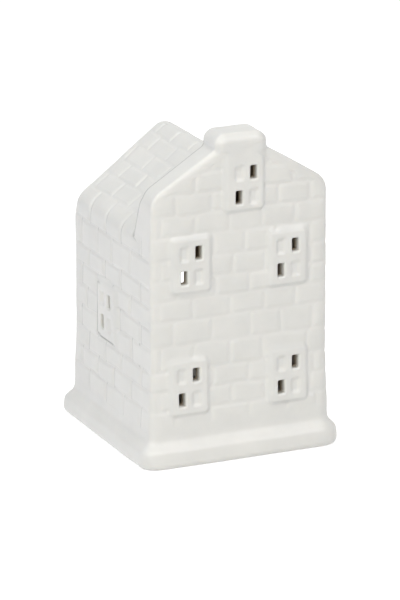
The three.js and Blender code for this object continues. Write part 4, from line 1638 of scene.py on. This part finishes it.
@dataclass(frozen=True)
class Plinth:
    """Foot of the house with its rolled bead, and the glazed floor let into it."""

    ledge: float = 3.0
    ledge_top: float = 10.85
    level: float = 2.5
    floor_bottom: float = 11.15
    floor_top: float = 14.35
    floor_gap: float = 0.3
    floor_edge: float = 0.7
    floor_dish: float = 0.1
    floor_shares: tuple = (1.0, 0.985, 0.95, 0.85, 0.65, 0.4, 0.18, 0.0)

    def build(self, finishes: Finishes) -> None:
        """Makes the foot ring and the floor."""
        low = FOOT.radius * (1 - np.sin(np.linspace(0, QUARTER, 10)[1:]))
        z = np.concatenate([[PLINTH_TOP + SPARE], np.linspace(PLINTH_TOP, FOOT.radius, 34), low])
        over = FOOT.overhang(z)
        foot, hollow, wall, top = over[-1], -SHELL - self.ledge, -SHELL, self.ledge_top
        under = np.array([[foot - 0.8, 0.0], [foot - 2.2, 0.0], [hollow + 1.2, 0.0], [hollow + 0.35, 0.3],
                          [hollow, 1.1], [hollow, 4.0], [hollow, 8.0], [hollow, top - 0.5], [hollow, top],
                          [wall - 0.2, top], [wall, top + 0.2], [wall, PLINTH_TOP]])
        rings = Plan().rings(*np.concatenate([spread(over, z), under]).T)
        rings = np.concatenate([rings[:, -1:], rings, rings[:, :1]], 1)[::-1]
        calm = np.arange(len(rings))[:, None] < len(under)
        skin = Skin.relieve(rings, rings, lambda p: (-unevenness(p) * calm, np.zeros(p.shape[:2])),
                            (slice(None, -1), slice(1, -1)))
        x, y, z = np.moveaxis(skin.outer, -1, 0)
        settle = smooth(0.0, self.level, z)
        low = np.maximum(z * settle, 0.0) + skin.base[..., 2] * (1 - settle)
        outer = spread(x, y, np.where(z < self.level, low, z))
        bare = (np.arange(len(outer)) <= len(under))[:, None] | np.zeros(outer.shape[:2], bool)
        cast = Cast()
        cast.add(outer, grid_quads(numbered(outer, (1, 0))), skin.normals * ~bare[..., None], bare)
        piece = cast.solid("plinth_ring", 50.0)
        install_glazed(piece, "plinth", finishes.glaze, finishes.biscuit)
        self._dress_foot(piece.data)
        self._floor(finishes)

    @staticmethod
    def _dress_foot(mesh: bpy.types.Mesh) -> None:
        """Gives the bare clay to the faces of the foot ring and of the hollow under it."""
        across, back, _ = np.abs(fetched(mesh.polygons, "center").T) / MM
        within = (across < HALF_WIDTH - SHELL + 0.3) & (back < HALF_DEPTH - SHELL + 0.3)
        bare = within | (fetched(mesh.polygons, "normal")[:, 2] < -0.9)
        mesh.polygons.foreach_set("material_index", bare.astype(np.int32))
        mesh.update()

    def _floor(self, finishes: Finishes) -> None:
        """Makes the floor: a slab with rolled edges whose top is very slightly dished."""
        edge, share = self.floor_edge, np.array(self.floor_shares)
        reach = -SHELL - self.floor_gap - edge
        turn = arc((reach, self.floor_bottom + edge), edge, -QUARTER, 0, 5)
        rise = arc((reach, self.floor_top - edge), edge, 0, QUARTER, 5)
        top = self.floor_top - self.floor_dish * (1 - share ** 2)
        profile = np.concatenate([spread(reach, self.floor_bottom, share[::-1]), spread(*turn[1:].T, 1.0),
                                  spread(*rise.T, 1.0), spread(reach, top, share)[1:]])
        rings = Plan().rings(*profile.T)
        cast = Cast()
        cast.add(rings, grid_quads(numbered(rings, (1,))))
        install_glazed(cast.solid("glazed_floor", 60.0), "floor_slab", finishes.glaze)


# Tealight


def turned_piece(name: str, profile: Array, sides: int, shape: Callable, closed: bool = True,
                 joint: Callable = lambda height, angle: 0.0) -> bpy.types.Object:
    """A surface of revolution about Z with a change of its points.

    Args:
        name: name of the piece.
        profile: rows of radius and height, outwards on the right hand side.
        sides: points round it.
        shape: given radius, height and angle grids, returns changed radius, height,
            and shifts across and back.
        closed: whether the profile's last point is followed by its first.
        joint: given height and angle grids, returns the joint value.

    Returns:
        The new object.
    """
    radius, height, angle = np.broadcast_arrays(profile[:, :1], profile[:, 1:], shares(sides, TAU))
    cover = joint(height, angle)
    radius, height, dx, dy = shape(radius, height, angle)
    points = spread(radius * np.cos(angle) + dx, radius * np.sin(angle) + dy, height)
    cast = Cast()
    cast.add(points, grid_quads(numbered(points, (1, 0) if closed else (1,))), joint=cover)
    return cast.solid(name, 42.0)


@dataclass(frozen=True)
class Tealight:
    """A standard tealight: foil cup, wax, tinplate holder and cotton wick."""

    stand: float = 14.65
    radius: float = 19.2
    foot: float = 18.6
    height: float = 15.0
    sheet: float = 0.35
    wax_top: float = 12.8
    holder: float = 6.5
    neck: float = 1.7
    wick: float = 0.8
    wick_top: float = 18.8
    flutes: int = 46
    bead: float = 0.42
    bend: float = 1.2

    def build(self, finishes: Finishes) -> None:
        """Makes the four pieces of the tealight."""
        for piece, node, slot, material in (
                (self._cup(), "tealight_cup", Slot.CUP, finishes.foil),
                (self._wax(), "tealight_wax", Slot.WAX, finishes.wax),
                (self._holder(), "wick_holder", Slot.HOLDER, finishes.tin),
                (self._wick(), "wick", Slot.WICK, finishes.cotton)):
            install(piece, "tealight", node, slot, material)

    def _cup(self) -> bpy.types.Object:
        """Pressed cup: flutes die out at the rolled rim and the rounded foot."""
        bead, bend = self.bead, self.bend
        side = np.linspace(1.6, self.height - 1.1, 15)
        wall = self.foot + (self.radius - bead - self.foot) * side / self.height
        corner = (self.foot - bend, bend)
        rim = arc((self.radius - bead, self.height - bead), bead, -0.5, math.pi, 9)
        profile = np.concatenate([
            [[0, 0.45], [6, 0.4], [14, 0.3], [15.5, 0.05], [16.4, 0.0]], arc(corner, bend, -QUARTER, 0, 6),
            spread(wall, side), rim, spread(wall - self.sheet, side)[::-1],
            arc(corner, bend - self.sheet, 0, -QUARTER, 6), [[15.5, 0.42], [14, 0.66], [6, 0.78], [0, 0.8]]])

        def flute(r: Array, z: Array, angle: Array) -> tuple:
            """Presses flutes into the side as a cosine round the cup."""
            up = z - self.stand
            share = smooth(1.2, 3.2, up) * smooth(self.height - 1.2, self.height - 3.0, up) * (r > 17)
            return r - 0.2 * share * (0.5 - 0.5 * np.cos(self.flutes * angle)), z, 0.0, 0.0

        return turned_piece("foil_cup", profile + (0, self.stand), 276, flute, closed=False)

    def _wax(self) -> bpy.types.Object:
        """Wax that climbs a little up the cup and sinks towards the wick."""
        edge, inner, seat = self.foot - 0.9, self.neck + 0.3, self.holder + 0.3
        reach = np.linspace(edge, self.neck + 0.35, 30)
        top = self.wax_top - 0.35 - 0.55 * bell(reach, 2.0, 3.4) + 0.35 * np.exp(-(edge - reach) / 0.7)
        profile = np.concatenate([
            [[seat, 0.95], [edge - 1.0, 0.95], [edge - 0.2, 1.3], [edge, 2.0], [edge, 7.0]],
            spread(reach, top), [[inner, 2.0], [inner, 1.75], [seat, 1.75]]])

        def settle(r: Array, z: Array, angle: Array) -> tuple:
            """Adds slow swells to the top."""
            swell = SWELL.at(spread(r * np.cos(angle), r * np.sin(angle), 0.0))
            return r, z + swell * (z > self.stand + 9), 0.0, 0.0

        return turned_piece("wax_fill", profile + (0, self.stand), 160, settle)

    def _holder(self) -> bpy.types.Object:
        """Stamped disc with a ribbed step and a crimped neck."""
        profile = np.array([[1.1, 0.8], [2.2, 0.8], [3.6, 0.8], [4.0, 0.88], [4.4, 0.8], [6.3, 0.8],
                            [6.5, 0.92], [6.48, 1.1], [6.3, 1.2], [4.5, 1.2], [4.0, 1.28], [3.5, 1.2],
                            [2.4, 1.24], [1.9, 1.55], [1.7, 2.0], [1.68, 3.2], [1.6, 4.1], [1.5, 4.28],
                            [1.25, 4.3], [1.12, 4.2], [1.1, 3.0], [1.1, 1.4]])

        def crimp(r: Array, z: Array, angle: Array) -> tuple:
            """Flattens the neck towards two sides."""
            share = smooth(2.0, 3.4, z - self.stand)
            return r * (1 - 0.07 * share * np.cos(2 * angle) ** 2), z, 0.0, 0.0

        return turned_piece("holder_stamped", profile + (0, self.stand), 72, crimp)

    def _wick(self) -> bpy.types.Object:
        """Braided wick: two sets of strands cross as it climbs, and its tip leans."""
        length = np.linspace(0.8, self.wick_top, 150)
        taper = np.where(length > self.wick_top - 0.5, 0.82, 1.0)
        profile = np.concatenate([[[0, 0.8]], spread(self.wick * 0.92 * taper, length),
                                  [[0, self.wick_top]]])
        weave = lambda z, angle: np.cos(2 * angle + 3.1 * z) * np.cos(2 * angle - 3.1 * z)

        def braid(r: Array, z: Array, angle: Array) -> tuple:
            """Presses the crossings in and bends the free end over."""
            lean = smooth(13.0, 19.0, z - self.stand)
            return r * (1 + 0.08 * weave(z, angle)), z - 0.12 * lean, 0.9 * lean ** 2, 0.35 * lean ** 2

        # joint marks the braid's hollows, which the cotton's material darkens as painted shade
        return turned_piece("braided_wick", profile + (0, self.stand), 28, braid, closed=False,
                            joint=lambda z, angle: 0.5 - 0.5 * weave(z, angle))


# Studio


@dataclass(frozen=True)
class Studio:
    """White floor and surround, soft lamps and the photograph's camera."""

    camera_at: tuple = (-0.7560, -1.67995, 0.63184)
    aim: tuple = (0.0, 0.0, 0.06)
    yaw: float = 0.423
    pitch: float = 0.302
    lens: float = 267.46
    sky: float = 0.1
    floor_colour: tuple = (0.86, 0.86, 0.86, 1)
    floor_lift: float = 0.61
    floor_radius: float = 4.0
    floor_sides: int = 96
    lamps: tuple = (
        ("key_lamp", (-0.95, -1.0, 0.95), 1.3, 12.1, (1.0, 0.98, 0.88)),
        ("front_lamp", (0.35, -1.05, 1.15), 1.3, 9.4, (0.98, 0.96, 1.0)),
        ("top_lamp", (-0.1, 0.1, 1.4), 1.6, 8.1, (0.98, 1.0, 0.93)),
        ("side_lamp", (-1.2, 0.35, 0.7), 1.3, 3.85, (0.73, 0.75, 1.0)),
    )

    def build(self) -> None:
        """Makes everything that isn't part of the object."""
        self._camera()
        self._lamps()
        self._floor()
        self._world()
        bpy.context.scene.view_settings.view_transform = "Standard"

    def _camera(self) -> None:
        """Aims the camera by its yaw towards +X and its pitch below the horizon."""
        data = bpy.data.cameras.new("photo_camera")
        data.lens, data.sensor_width, data.sensor_fit = self.lens, 36.0, "AUTO"
        data.clip_start, data.clip_end = 0.1, 30.0
        camera = placed("photo_camera", data)
        camera.location = self.camera_at
        camera.rotation_euler = (QUARTER - self.pitch, 0.0, -self.yaw)
        bpy.context.scene.camera = camera

    def _lamps(self) -> None:
        """Large square lamps that look at the middle of the house."""
        for name, place, size, power, colour in self.lamps:
            data = bpy.data.lights.new(name, "AREA")
            data.shape, data.size, data.energy, data.color = "SQUARE", size, power, colour
            lamp = placed(name, data)
            x, y, z = np.subtract(place, self.aim)
            lamp.location = place
            lamp.rotation_euler = (math.atan2(math.hypot(x, y), z), 0.0, math.atan2(x, -y))

    def _floor(self) -> None:
        """A white disc that the camera sees a little brighter, so that it ends in white."""
        angle = shares(self.floor_sides, TAU)[0]
        rim = self.floor_radius * spread(np.cos(angle), np.sin(angle), 0.0)
        mesh = bpy.data.meshes.new("floor")
        mesh.from_pydata(rim.tolist(), [], [list(range(self.floor_sides))])
        n = Nodes.material("white_floor")
        mesh.materials.append(n.finish(
            Base_Color=self.floor_colour, Roughness=0.9, Emission_Color=(1, 1, 1, 1),
            Emission_Strength=n.sums("MULTIPLY", n.seen(), self.floor_lift)))
        placed("floor", mesh)

    def _world(self) -> None:
        """An even sky for light, and plain white where it is seen."""
        n = Nodes(bpy.data.worlds.new("studio"))
        bpy.context.scene.world = n.finish("Background", "OutputWorld", Color=(1, 1, 1, 1),
                                           Strength=n.ramp(n.seen(), self.sky, 1.0))


def main() -> None:
    """Builds the pieces in order and reports each one."""
    logging.basicConfig(level=logging.INFO, format="%(message)s")
    finishes = Finishes()
    sides = [SideWall(side) for side in Side]
    for member in (Plinth(), FrontGable(), GableBlock(), *sides, RearWall(), Tealight()):
        member.build(finishes)
    Studio().build()


if __name__ == "__main__":
    main()
